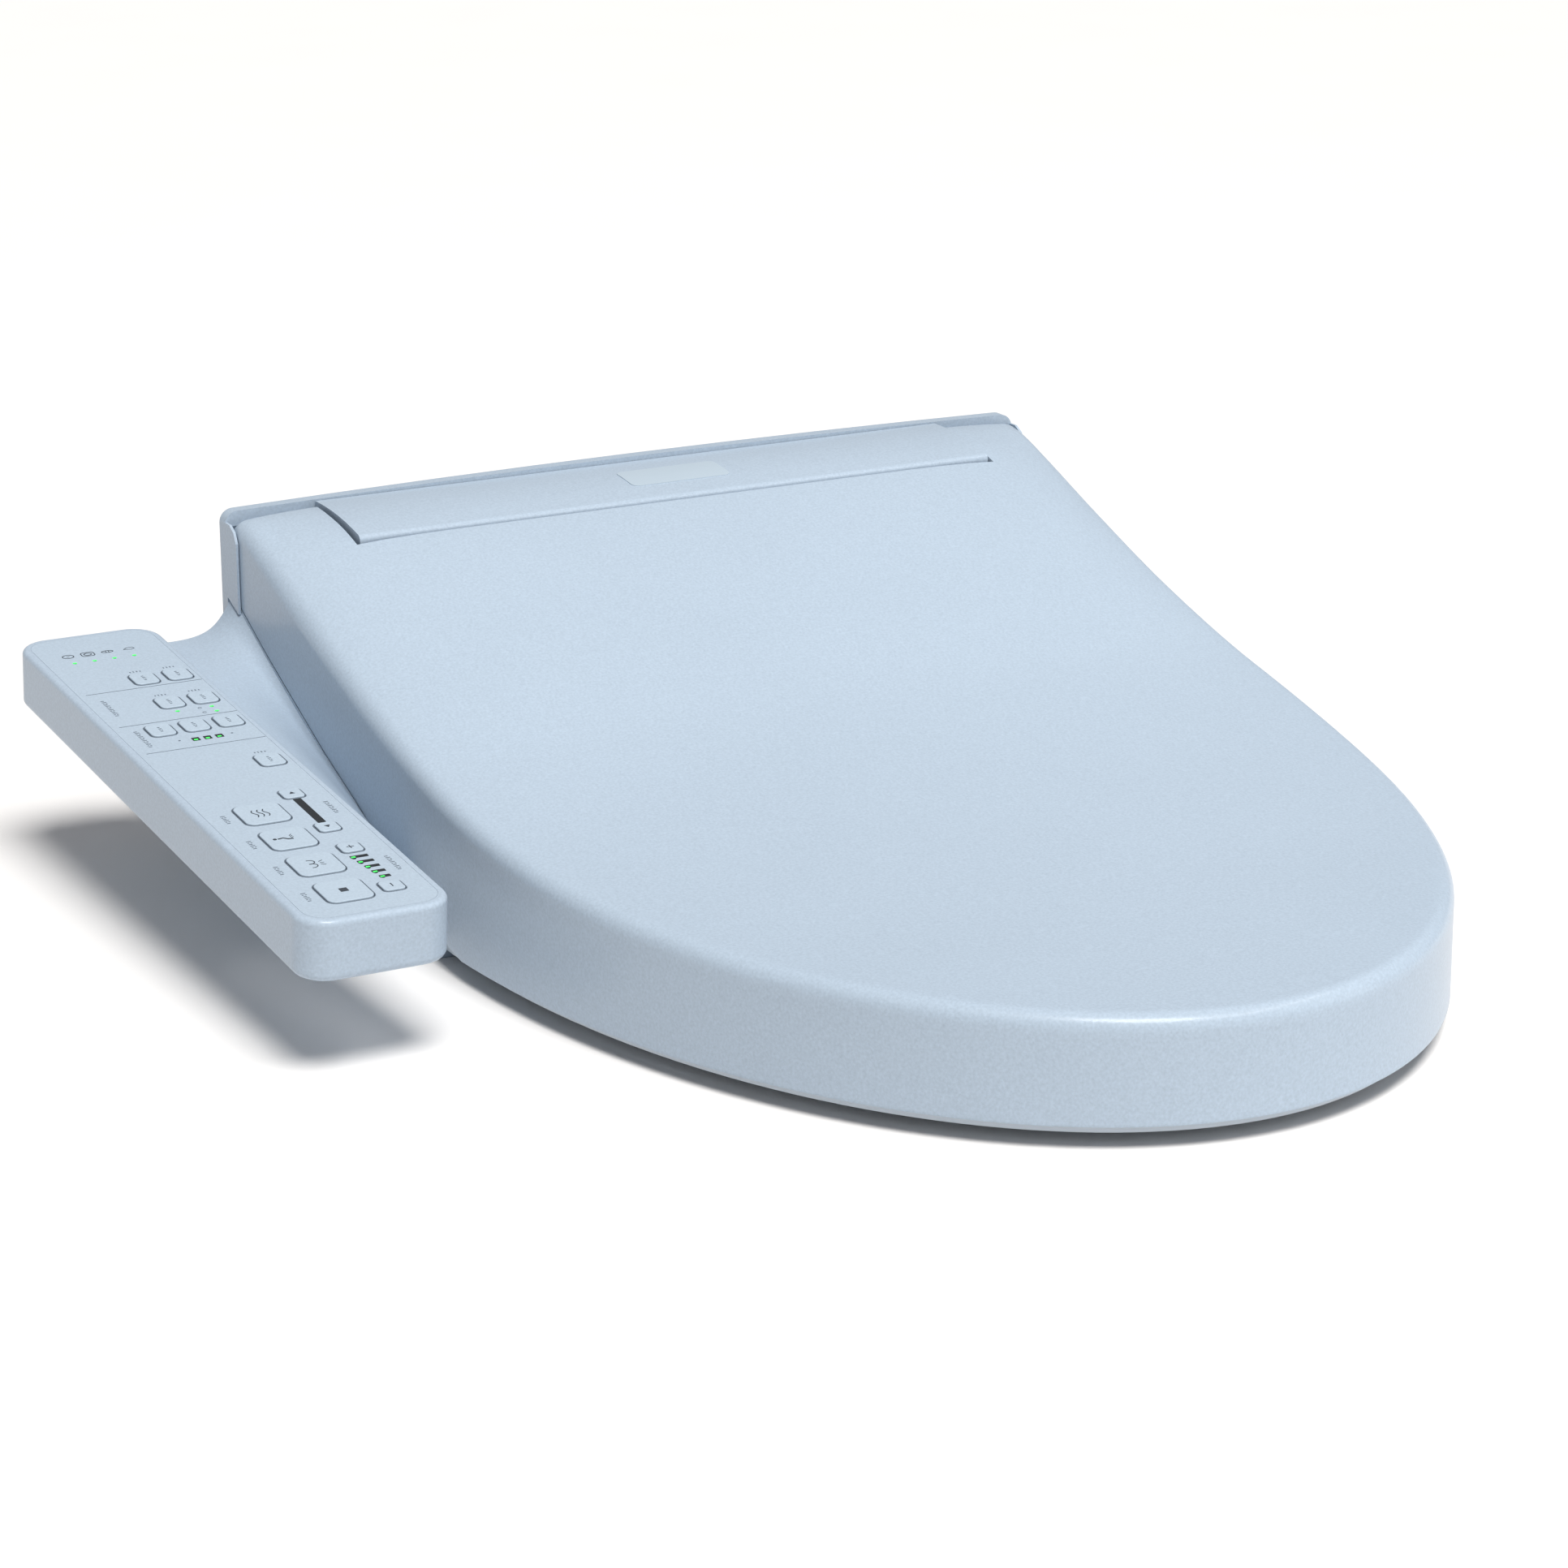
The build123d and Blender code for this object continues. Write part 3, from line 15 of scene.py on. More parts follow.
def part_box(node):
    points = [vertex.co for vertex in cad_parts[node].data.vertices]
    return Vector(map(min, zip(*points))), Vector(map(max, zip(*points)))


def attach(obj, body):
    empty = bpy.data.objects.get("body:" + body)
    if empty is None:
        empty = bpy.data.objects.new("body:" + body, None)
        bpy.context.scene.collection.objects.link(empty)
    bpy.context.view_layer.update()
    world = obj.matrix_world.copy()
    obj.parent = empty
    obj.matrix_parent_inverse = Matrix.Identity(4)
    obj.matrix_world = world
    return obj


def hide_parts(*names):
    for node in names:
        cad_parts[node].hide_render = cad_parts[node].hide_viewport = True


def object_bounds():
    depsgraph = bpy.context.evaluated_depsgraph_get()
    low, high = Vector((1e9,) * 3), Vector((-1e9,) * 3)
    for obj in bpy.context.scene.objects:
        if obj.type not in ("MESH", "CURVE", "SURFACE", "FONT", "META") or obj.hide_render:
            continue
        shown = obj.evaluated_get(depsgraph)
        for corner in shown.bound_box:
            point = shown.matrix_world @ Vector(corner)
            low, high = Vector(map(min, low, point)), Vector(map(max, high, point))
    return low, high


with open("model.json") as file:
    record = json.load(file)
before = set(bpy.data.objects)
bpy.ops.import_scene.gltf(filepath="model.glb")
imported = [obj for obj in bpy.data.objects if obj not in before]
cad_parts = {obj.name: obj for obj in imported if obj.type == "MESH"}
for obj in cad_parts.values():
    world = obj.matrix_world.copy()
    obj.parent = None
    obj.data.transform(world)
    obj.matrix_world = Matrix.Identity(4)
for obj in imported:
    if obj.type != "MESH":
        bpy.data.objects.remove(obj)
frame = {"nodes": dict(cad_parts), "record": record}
CAD_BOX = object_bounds()
MM = 0.001


def node_box(name):
    """Lowest and highest corners of a CAD node, in millimetres."""
    low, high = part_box(name)
    return low / MM, high / MM


# ---- Driving dimensions, mm ----
LID_LOW, LID_HIGH = node_box("lid")
HALF_WIDTH = LID_HIGH.x
TIP_Y = LID_LOW.y
LID_REAR_Y = LID_HIGH.y
RIM_Z = LID_LOW.z
ARC_CENTRE_Y = -162.5
CROWN_HALF = HALF_WIDTH + 2.0
CROWN_POWER = 3.5
CROWN_POWER_RISE = 6.5
CROWN_BLEND_Y = -150.0
CROWN_BLEND_RUN = 160.0
NOTCH_X = 155.0
LID_SHELL = 2.8
SEAM_GAP = 1.0
CROWN = (
    (-480, 49.5, 47.8),
    (-400, 52.5, 50.0),
    (-330, 56.5, 51.8),
    (-240, 66.5, 59.5),
    (-160, 82.0, 72.5),
    (-90, 103.0, 89.5),
    (-30, 123.5, 108.8),
    (10, 135.0, 123.8),
    (36, 138.2, 133.8),
    (60, 138.6, 136.5),
)
SEAM = (
    (-176, 9),
    (-120, 29),
    (-82, 45.5),
    (-49, 58),
    (-15, 73),
    (11, 84.5),
    (30, 94),
    (51, 104),
)
LID_SHOULDER = 6.0
LID_REAR_CORNER = 7.0
LID_REAR_BOTTOM = 125.0
LID_BEVEL = 0.5
LID_ARC_STEPS = 96

PANEL_SLOPE = 0.0905
PANEL_ANGLE = atan(PANEL_SLOPE)
PANEL_ORIGIN = Vector((-257.9, 0, 86.9))
PANEL_U = Vector((1, 0, 0))
PANEL_W = Vector((0, -sin(PANEL_ANGLE), cos(PANEL_ANGLE)))
PANEL_V = PANEL_W.cross(PANEL_U)
KEY_PROUD = 0.6
PRINT_LIFT = 0.01
KEY_TOP = KEY_PROUD + PRINT_LIFT
PRINT_HEIGHT = 0.07

FLOOR_GAP = 0.2
FLOOR_REACH = 6000.0


# ---- Curves and small maths ----
def smooth_at(points, y, column):
    """Smooth curve through (y, ...) rows, read at y: cubic Hermite with centred slopes."""
    last = len(points) - 2
    i = max(0, min(last, sum(1 for p in points if p[0] <= y) - 1))

    def slope(k):
        a = points[max(k - 1, 0)]
        b = points[min(k + 1, len(points) - 1)]
        return (b[column] - a[column]) / (b[0] - a[0])

    start, end = points[i], points[i + 1]
    gap = end[0] - start[0]
    t = (y - start[0]) / gap
    return (
        (2 * t**3 - 3 * t**2 + 1) * start[column]
        + (t**3 - 2 * t**2 + t) * gap * slope(i)
        + (-2 * t**3 + 3 * t**2) * end[column]
        + (t**3 - t**2) * gap * slope(i + 1)
    )


def crown_height(x, y):
    """Height of the lid's top: flat across the middle, falling more sharply at the rear."""
    rear_share = min(max((y - CROWN_BLEND_Y) / CROWN_BLEND_RUN, 0), 1)
    power = CROWN_POWER + CROWN_POWER_RISE * rear_share
    edge = smooth_at(CROWN, y, 2)
    centre = smooth_at(CROWN, y, 1)
    return edge + (centre - edge) * (1 - min(abs(x) / CROWN_HALF, 1) ** power)


def straight_at(points, y):
    """Straight runs through (y, z) rows, read at y, level beyond both ends."""
    if y <= points[0][0]:
        return points[0][1]
    for (y0, z0), (y1, z1) in zip(points, points[1:]):
        if y <= y1:
            return z0 + (z1 - z0) * (y - y0) / (y1 - y0)
    return points[-1][1]


# ---- Mesh helpers ----
def make_piece(name, points, faces, material, smooth=True):
    """A mesh object from millimetre points, welded, with its faces turned outwards."""
    mesh = bpy.data.meshes.new(name)
    mesh.from_pydata([Vector(p) * MM for p in points], [], faces)
    work = bmesh.new()
    work.from_mesh(mesh)
    bmesh.ops.remove_doubles(work, verts=work.verts, dist=1e-6)
    bmesh.ops.dissolve_degenerate(work, dist=1e-7, edges=work.edges)
    bmesh.ops.recalc_face_normals(work, faces=work.faces)
    for face in work.faces:
        face.smooth = smooth
    work.to_mesh(mesh)
    work.free()
    piece = bpy.data.objects.new(name, mesh)
    bpy.context.scene.collection.objects.link(piece)
    mesh.materials.append(material)
    return piece


def apply_modifiers(piece):
    """Bakes a piece's modifiers into its mesh."""
    evaluated = piece.evaluated_get(bpy.context.evaluated_depsgraph_get())
    mesh = bpy.data.meshes.new_from_object(evaluated)
    old = piece.data
    piece.modifiers.clear()
    piece.data = mesh
    bpy.data.meshes.remove(old)


def bevel(piece, width, angle, segments):
    """Rounds a piece's edges that are sharper than the angle, in degrees."""
    modifier = piece.modifiers.new("bevel", "BEVEL")
    modifier.width = width * MM
    modifier.segments = segments
    modifier.limit_method = "ANGLE"
    modifier.angle_limit = radians(angle)


def place(piece, body, slot, *replaced):
    """Rides a piece on its body and hides the CAD parts it replaces, if any."""
    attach(piece, body)
    if replaced:
        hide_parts(*replaced)
    return piece


# ---- Materials ----
DRIFT_SCALE = 9.0
GLOSS_DRIFT = 0.04
GRAIN_DEPTH = 0.0004
COAT_ROUGHNESS = 0.12
STREAK_SCALE = 300.0
STREAK_STRENGTH = 0.08


def plastic(
    name,
    colour,
    roughness,
    grain=0.04,
    coat=0.0,
    scale=900.0,
    mottle=0.03,
    specular=0.5,
    speckle=0.0,
):
    """Moulded plastic: fine grain in the surface, specks, and a faint drift in colour and gloss."""
    material = bpy.data.materials.new(name)
    material.use_nodes = True
    tree = material.node_tree
    shader = tree.nodes["Principled BSDF"]
    coords = tree.nodes.new("ShaderNodeTexCoord")
    drift = tree.nodes.new("ShaderNodeTexNoise")
    drift.inputs["Scale"].default_value = DRIFT_SCALE
    drift.inputs["Detail"].default_value = 3.0
    tree.links.new(coords.outputs["Object"], drift.inputs["Vector"])
    shade = tree.nodes.new("ShaderNodeMapRange")
    shade.inputs["To Min"].default_value = 1.0 - mottle
    shade.inputs["To Max"].default_value = 1.0 + mottle
    tree.links.new(drift.outputs["Fac"], shade.inputs["Value"])
    specks = tree.nodes.new("ShaderNodeMapRange")
    specks.inputs["To Min"].default_value = 1.0 - speckle
    specks.inputs["To Max"].default_value = 1.0 + speckle
    mix = tree.nodes.new("ShaderNodeMath")
    mix.operation = "MULTIPLY"
    tree.links.new(shade.outputs["Result"], mix.inputs[0])
    tree.links.new(specks.outputs["Result"], mix.inputs[1])
    tint = tree.nodes.new("ShaderNodeVectorMath")
    tint.operation = "SCALE"
    tint.inputs[0].default_value = colour
    tree.links.new(mix.outputs["Value"], tint.inputs["Scale"])
    tree.links.new(tint.outputs["Vector"], shader.inputs["Base Color"])
    gloss = tree.nodes.new("ShaderNodeMapRange")
    gloss.inputs["To Min"].default_value = roughness - GLOSS_DRIFT
    gloss.inputs["To Max"].default_value = roughness + GLOSS_DRIFT
    tree.links.new(drift.outputs["Fac"], gloss.inputs["Value"])
    tree.links.new(gloss.outputs["Result"], shader.inputs["Roughness"])
    pores = tree.nodes.new("ShaderNodeTexNoise")
    pores.inputs["Scale"].default_value = scale
    pores.inputs["Detail"].default_value = 2.0
    tree.links.new(coords.outputs["Object"], pores.inputs["Vector"])
    tree.links.new(pores.outputs["Fac"], specks.inputs["Value"])
    bump = tree.nodes.new("ShaderNodeBump")
    bump.inputs["Strength"].default_value = grain
    bump.inputs["Distance"].default_value = GRAIN_DEPTH
    tree.links.new(pores.outputs["Fac"], bump.inputs["Height"])
    tree.links.new(bump.outputs["Normal"], shader.inputs["Normal"])
    shader.inputs["Coat Weight"].default_value = coat
    shader.inputs["Coat Roughness"].default_value = COAT_ROUGHNESS
    shader.inputs["Specular IOR Level"].default_value = specular
    return material


def metal(name, colour, roughness, stretch):
    """Machined or brushed metal: streaks along one direction."""
    material = plastic(name, colour, roughness, grain=0.0, mottle=0.05)
    tree = material.node_tree
    shader = tree.nodes["Principled BSDF"]
    shader.inputs["Metallic"].default_value = 1.0
    coords = tree.nodes["Texture Coordinate"]
    mapping = tree.nodes.new("ShaderNodeMapping")
    mapping.inputs["Scale"].default_value = stretch
    tree.links.new(coords.outputs["Object"], mapping.inputs["Vector"])
    streaks = tree.nodes.new("ShaderNodeTexNoise")
    streaks.inputs["Scale"].default_value = STREAK_SCALE
    tree.links.new(mapping.outputs["Vector"], streaks.inputs["Vector"])
    bump = tree.nodes["Bump"]
    bump.inputs["Strength"].default_value = STREAK_STRENGTH
    tree.links.new(streaks.outputs["Fac"], bump.inputs["Height"])
    return material


def lamp_glow(name, colour, strength):
    """A small lit lens."""
    material = plastic(name, colour, 0.25, grain=0.0, mottle=0.1)
    shader = material.node_tree.nodes["Principled BSDF"]
    shader.inputs["Emission Color"].default_value = (*colour, 1)
    shader.inputs["Emission Strength"].default_value = strength
    return material


SHELL = plastic(
    "satin shell",
    (0.415, 0.50, 0.595),
    0.32,
    grain=0.16,
    coat=0.12,
    specular=0.22,
    speckle=0.16,
)
SEAT_SHELL = plastic("seat shell", (0.55, 0.62, 0.69), 0.26, grain=0.05, coat=0.4)
PLATE_FACE = plastic("blank plate face", (0.46, 0.55, 0.63), 0.30, grain=0.06)
OVERLAY = plastic(
    "panel film", (0.42, 0.505, 0.595), 0.42, grain=0.14, specular=0.25, speckle=0.14
)
KEY_FACE = plastic(
    "key film", (0.44, 0.53, 0.62), 0.40, grain=0.12, specular=0.25, speckle=0.12
)
PRINT = plastic("grey print", (0.045, 0.055, 0.07), 0.5, grain=0.03)
SOFT_PRINT = plastic("pale print", (0.13, 0.16, 0.20), 0.5, grain=0.03)
DARK_WINDOW = plastic("dark window", (0.012, 0.016, 0.02), 0.2, grain=0.0)
LAMP = lamp_glow("green lamp", (0.05, 0.70, 0.10), 1.1)
RUBBER = plastic("rubber", (0.05, 0.052, 0.058), 0.62, grain=0.25, scale=500.0)
STEEL = metal("brushed steel", (0.60, 0.61, 0.63), 0.28, (1, 1, 40))
BRASS = metal("machined brass", (0.70, 0.52, 0.24), 0.26, (40, 1, 1))
FOIL = metal("heater foil", (0.72, 0.72, 0.74), 0.35, (1, 20, 1))
GREY_MOULDING = plastic("grained grey", (0.52, 0.56, 0.60), 0.48, grain=0.25, scale=500.0)
DAMPER = plastic("damper black", (0.025, 0.027, 0.03), 0.42, grain=0.12)
WAND_WHITE = plastic("wand white", (0.84, 0.87, 0.90), 0.18, grain=0.02, coat=0.5)
ACETAL = plastic("natural acetal", (0.80, 0.76, 0.64), 0.38, grain=0.06)
BLACK_MOULDING = plastic(
    "black moulding", (0.02, 0.022, 0.025), 0.45, grain=0.2, scale=600.0
)
DOOR_GREY = plastic("door grey", (0.58, 0.62, 0.66), 0.35, grain=0.08)
CARBON = plastic("carbon filter", (0.03, 0.03, 0.03), 0.9, grain=0.6, scale=300.0)
TANK = plastic("natural tank", (0.78, 0.75, 0.64), 0.42, grain=0.12, scale=400.0)
BOARD = plastic(
    "circuit board", (0.02, 0.14, 0.05), 0.35, grain=0.1, mottle=0.2, scale=250.0
)

SLOT_LOOKS = {
    "shell": SHELL,
    "shell_inner": SHELL,
    "seat": SEAT_SHELL,
    "name_plate": PLATE_FACE,
    "overlay": OVERLAY,
    "key": KEY_FACE,
    "lamp": LAMP,
    "rubber": RUBBER,
    "steel": STEEL,
    "plate_plastic": GREY_MOULDING,
    "damper": DAMPER,
    "wand": WAND_WHITE,
    "gear": ACETAL,
    "dark_plastic": BLACK_MOULDING,
    "dryer_door": DOOR_GREY,
    "heater": FOIL,
    "heater_foil": FOIL,
    "filter": CARBON,
    "tank": TANK,
    "brass": BRASS,
    "board": BOARD,
}
for entry in frame["record"]["subparts"]:
    looks = SLOT_LOOKS[entry["material_slot"]]
    node = frame["nodes"][entry["node"]]
    if not node.material_slots:
        node.data.materials.append(looks)
    for held in node.material_slots:
        held.material = looks


# ---- Lid ----
def side_stations():
    """(x, y, inward anchor y, rear drop) along the lid's edge, rear left to rear right."""
    corner = LID_REAR_CORNER
    turn = [radians(a) for a in range(90, -1, -15)]
    runs = [(LID_REAR_Y - corner * (1 - sin(a)), corner * (1 - cos(a))) for a in turn]
    runs += [(y, 0.0) for y in (35, 28, 21, 14, 7, 3, 1, 0, -1, -3, -8, -15, -24)]
    runs += [(-24 - 8.5 * i, 0.0) for i in range(1, 17)]
    left = [(HALF_WIDTH, y, y, drop) for y, drop in runs]
    depth = ARC_CENTRE_Y - TIP_Y
    anchor_share = 0.55
    front = []
    for i in range(LID_ARC_STEPS + 1):
        a = pi * i / LID_ARC_STEPS
        y = ARC_CENTRE_Y - depth * sin(a)
        anchor = ARC_CENTRE_Y - depth * sin(a) * anchor_share
        front.append((HALF_WIDTH * cos(a), y, anchor, 0.0))
    right = [(-x, y, anchor, drop) for x, y, anchor, drop in reversed(left)]
    return left + front + right


def lid_top():
    """The lid's outer skin: side wall, rounded shoulder and crown down to the spine."""
    stations = side_stations()
    radius = LID_SHOULDER
    notch_share = 1 - NOTCH_X / HALF_WIDTH
    outer = (0.055, 0.085, 0.125, 0.16)
    inner = (*outer, notch_share, 0.26, 0.34, 0.43, 0.53, 0.64, 0.76, 0.88, 1.0)
    wall_rows = (0.0, 0.03, 0.35, 0.7, 0.94)
    turn = (0, 15, 30, 45, 60, 75, 90)
    points = []
    for x, y, anchor, drop in stations:
        reach = Vector((-x, anchor - y))
        step = reach / max(reach.length, 1e-6)
        bottom = RIM_Z
        if y > SEAM[0][0]:
            bottom = max(straight_at(SEAM, y) + SEAM_GAP, RIM_Z)
        top = crown_height(x, y) - drop
        for share in wall_rows:
            points.append((x, y, bottom + (top - radius - bottom) * share))
        for a in turn:
            inset = radius * (1 - cos(radians(a)))
            px = x + step.x * inset
            py = y + step.y * inset
            fall = radius * (1 - sin(radians(a)))
            points.append((px, py, crown_height(px, py) - drop - fall))
        for share in inner:
            px = x * (1 - share)
            py = y + (anchor - y) * share
            points.append((px, py, crown_height(px, py) - drop))
    columns = len(wall_rows) + len(turn) + len(inner)
    notch_column = len(wall_rows) + len(turn) + inner.index(notch_share)
    faces = []
    for r in range(len(stations) - 1):
        behind = min(stations[r][1], stations[r + 1][1]) > -0.01
        for c in range(columns - 1):
            if behind and c >= notch_column:
                continue
            a = r * columns + c
            faces.append((a, a + 1, a + 1 + columns, a + columns))
    for r in (0, len(stations) - 1):
        first = len(wall_rows)
        previous = None
        for c in range(first, notch_column + 1):
            x, y, _ = points[r * columns + c]
            points.append((x, y, LID_REAR_BOTTOM))
            lower = len(points) - 1
            if previous is not None:
                faces.append((r * columns + c - 1, r * columns + c, lower, previous))
            previous = lower
    return points, faces


def drop_unused(points, faces):
    """Keeps only the points that faces use."""
    used = sorted({i for face in faces for i in face})
    index = {old: new for new, old in enumerate(used)}
    return [points[i] for i in used], [tuple(index[i] for i in face) for face in faces]


lid_shell = make_piece("lid_shell", *drop_unused(*lid_top()), SHELL)
thick = lid_shell.modifiers.new("shell", "SOLIDIFY")
thick.thickness = LID_SHELL * MM
thick.offset = -1
bevel(lid_shell, LID_BEVEL, angle=50, segments=2)
apply_modifiers(lid_shell)
place(lid_shell, "lid", "shell", "lid")


# ---- Panel prints and lenses ----
HAIRLINE = 0.25
FINE_LINE = 0.3
OUTLINE = 0.32
ICON_LINE = 0.42
BOLD_LINE = 0.45
SMALL_WORD = 1.3
KEYS = {
    "button_stop": (-4.8, -237.3),
    "button_rear_wash": (-4.8, -210.5),
    "button_front_wash": (-4.8, -183.6),
    "button_dryer": (-4.8, -156.8),
    "button_position_back": (13.4, -142.2),
    "button_position_forward": (13.4, -178.4),
    "button_pressure_up": (13.4, -200.4),
    "button_pressure_down": (13.4, -239.8),
    "button_power": (5.1, -2.7),
    "button_energy_saver": (19.7, -2.7),
    "button_oscillate": (5.1, -31.9),
    "button_pulsate": (19.7, -31.9),
    "button_water_heat": (-9.4, -59.8),
    "button_seat_heat": (5.1, -59.8),
    "button_dryer_heat": (19.7, -59.8),
    "button_wand_clean": (19.1, -105.8),
}


def panel_point(u, v, w):
    """A point on the panel's face: u across, v towards the rear, w out of the face."""
    return PANEL_ORIGIN + PANEL_U * u + PANEL_V * v + PANEL_W * w


def ribbon(points, width, base, closed=False, height=PRINT_HEIGHT):
    """A thin raised line of even width along (u, v) points."""
    count = len(points)
    corners = []
    for i, (u, v) in enumerate(points):
        before = points[i - 1] if closed or i else points[0]
        after = points[(i + 1) % count] if closed or i < count - 1 else points[-1]
        side = Vector((before[1] - after[1], after[0] - before[0])).normalized() * width / 2
        for sign, w in ((1, base), (1, base + height), (-1, base + height), (-1, base)):
            corners.append(panel_point(u + side.x * sign, v + side.y * sign, w))
    faces = []
    for i in range(count if closed else count - 1):
        a, b = i * 4, (i + 1) % count * 4
        faces += [(a + k, a + (k + 1) % 4, b + (k + 1) % 4, b + k) for k in range(4)]
    if not closed:
        faces += [(3, 2, 1, 0), tuple(4 * count - 4 + k for k in range(4))]
    return corners, faces


def patch(points, base, height=PRINT_HEIGHT):
    """A thin raised plate with a convex (u, v) outline."""
    count = len(points)
    corners = [panel_point(u, v, w) for w in (base, base + height) for u, v in points]
    faces = [tuple(range(count)), tuple(range(count, 2 * count))]
    faces += [(i, (i + 1) % count, count + (i + 1) % count, count + i) for i in range(count)]
    return corners, faces


def ring(u, v, radius_u, radius_v, start=0, sweep=360, count=24):
    """Points round an arc of an ellipse, in degrees."""
    last = count if sweep == 360 else count - 1
    angles = [radians(start + sweep * i / last) for i in range(count)]
    return [(u + radius_u * cos(a), v + radius_v * sin(a)) for a in angles]


def rounded_box(u, v, width, length, corner):
    """Points round a rectangle with round corners."""
    points = []
    for sign_u, sign_v, start in ((1, 1, 0), (-1, 1, 90), (-1, -1, 180), (1, -1, 270)):
        centre = (u + sign_u * (width / 2 - corner), v + sign_v * (length / 2 - corner))
        points += ring(*centre, corner, corner, start, 90, 6)
    return points


def dashes(u, v, length, base, across=False, tall=1.9):
    """A row of plain strokes in place of a word, running along v, or along u if across."""
    step = 1.45
    width = 0.5
    count = max(2, int(length / step))
    marks = []

    def stroke(along, low, high):
        if across:
            ends = [(u + along, v + low), (u + along, v + high)]
        else:
            ends = [(u + low, v + along), (u + high, v + along)]
        marks.append(ribbon(ends, width, base))

    for i in range(count):
        shift = (i - (count - 1) / 2) * step
        if i % 3 == 1:
            stroke(shift, -tall / 2, -tall / 8)
            stroke(shift, tall / 8, tall / 2)
        else:
            stroke(shift, -tall / 2, tall / 2 if i % 3 else tall / 4)
    return marks


def join_marks(name, marks, material, body, slot):
    """One piece made of many thin marks."""
    points, faces = [], []
    for corners, mark_faces in marks:
        shift = len(points)
        points += corners
        faces += [tuple(i + shift for i in face) for face in mark_faces]
    piece = make_piece(name, points, faces, material, smooth=False)
    return place(piece, body, slot)


def wave(u, v, length, swing):
    """An S-shaped stroke running along v."""
    steps = [i / 14 for i in range(15)]
    return [(u + swing * sin(2 * pi * t), v + length * (t - 0.5)) for t in steps]


def key_marks(name, u, v):
    """The icon on one key, as thin raised lines about the key's middle."""
    if name == "button_stop":
        half = 1.6
        corners = ((-half, -half), (half, -half), (half, half), (-half, half))
        return [patch([(u + du, v + dv) for du, dv in corners], KEY_TOP)]
    if name == "button_rear_wash":
        sides, jets = (-1, 1), (-1, 0, 1)
        lobes = [ring(u - 2.2, v + s * 1.7, 2.3, 1.8, -100, 200, 16) for s in sides]
        spray = [[(u + 1.6, v + 1.3 * s), (u + 3.4, v + 2.2 * s)] for s in jets]
        return [ribbon(line, ICON_LINE, KEY_TOP) for line in lobes] + [
            ribbon(line, FINE_LINE, KEY_TOP) for line in spray
        ]
    if name == "button_front_wash":
        head = patch(ring(u - 5.4, v + 0.4, 0.8, 0.8, 0, 360, 16), KEY_TOP)
        body = [(u - 4.2, v + 0.2), (u - 2.0, v + 0.6), (u - 0.4, v - 0.9), (u + 1.6, v - 1.2)]
        spray = [[(u + 1.0, v + 0.8 + s), (u + 2.2, v + 1.8 + 1.3 * s)] for s in (-1, 0, 1)]
        return [head, ribbon(body, 0.9, KEY_TOP)] + [
            ribbon(line, FINE_LINE, KEY_TOP) for line in spray
        ]
    if name == "button_dryer":
        waves = [wave(u + 2.3 * s - 0.6, v, 7.0, 0.75) for s in (-1, 0, 1)]
        return [ribbon(line, BOLD_LINE, KEY_TOP) for line in waves]
    if name in ("button_position_back", "button_position_forward"):
        tip = 1.2 if name == "button_position_back" else -1.2
        arrow = [(u - 1.2, v - tip * 0.7), (u + 1.2, v - tip * 0.7), (u, v + tip)]
        return [patch(arrow, KEY_TOP)]
    if name == "button_pressure_up":
        return [
            ribbon([(u - 1.5, v), (u + 1.5, v)], 0.4, KEY_TOP),
            ribbon([(u, v - 1.5), (u, v + 1.5)], 0.4, KEY_TOP),
        ]
    if name == "button_pressure_down":
        return [ribbon([(u, v - 1.5), (u, v + 1.5)], BOLD_LINE, KEY_TOP)]
    return []


for name, (u, v) in KEYS.items():
    dark = key_marks(name, u, v)
    if dark:
        join_marks(name + "_icon", dark, PRINT, name, "key")
    else:
        strokes = dashes(u, v, 7.0, KEY_TOP, tall=SMALL_WORD)
        join_marks(name + "_icon", strokes, SOFT_PRINT, name, "key")

LARGE_KEY = (18.4, 19.2, 3.5)
OPTION_KEY = (10.4, 12.2, 2.5)
SMALL_KEY = (8.6, 8.6, 1.8)
LARGE_NAMES = ("button_stop", "button_rear_wash", "button_front_wash", "button_dryer")
SMALL_NAMES = (
    "button_position_back",
    "button_position_forward",
    "button_pressure_up",
    "button_pressure_down",
)
CAPTIONED_NAMES = (
    "button_power",
    "button_energy_saver",
    "button_oscillate",
    "button_pulsate",
    "button_wand_clean",
)
WORDS = (
    (22.6, -160.0, 14.0),
    (22.8, -219.5, 15.0),
    (-19.4, -29.0, 20.0),
    (-19.0, -66.0, 19.0),
)
CAPTION_U = -19.6
FILM_EDGES = (-23.4, 27.0)
DIVIDERS = (-11.5, -50.4, -81.4)

labels = []
for name in LARGE_NAMES:
    labels += dashes(CAPTION_U, KEYS[name][1], 9.0, PRINT_LIFT)
for u, v, length in WORDS:
    labels += dashes(u, v, length, PRINT_LIFT)
for name in CAPTIONED_NAMES:
    u, v = KEYS[name]
    labels += dashes(u - 0.5, v + 9.6, 6.0, PRINT_LIFT, across=True, tall=SMALL_WORD)
for u, v in ((-6.3, -72.8), (16.1, -72.8)):
    labels.append(patch(ring(u, v, 0.5, 0.5, 0, 360, 12), PRINT_LIFT))
for v in (-42.0, -47.3):
    labels.append(ribbon(ring(14.4, v, 0.9, 0.7, 30, 280, 12), HAIRLINE, PRINT_LIFT))
for v in DIVIDERS:
    labels.append(ribbon([(u, v) for u in FILM_EDGES], FINE_LINE, PRINT_LIFT))
join_marks("panel_labels", labels, SOFT_PRINT, "main_unit", "overlay")

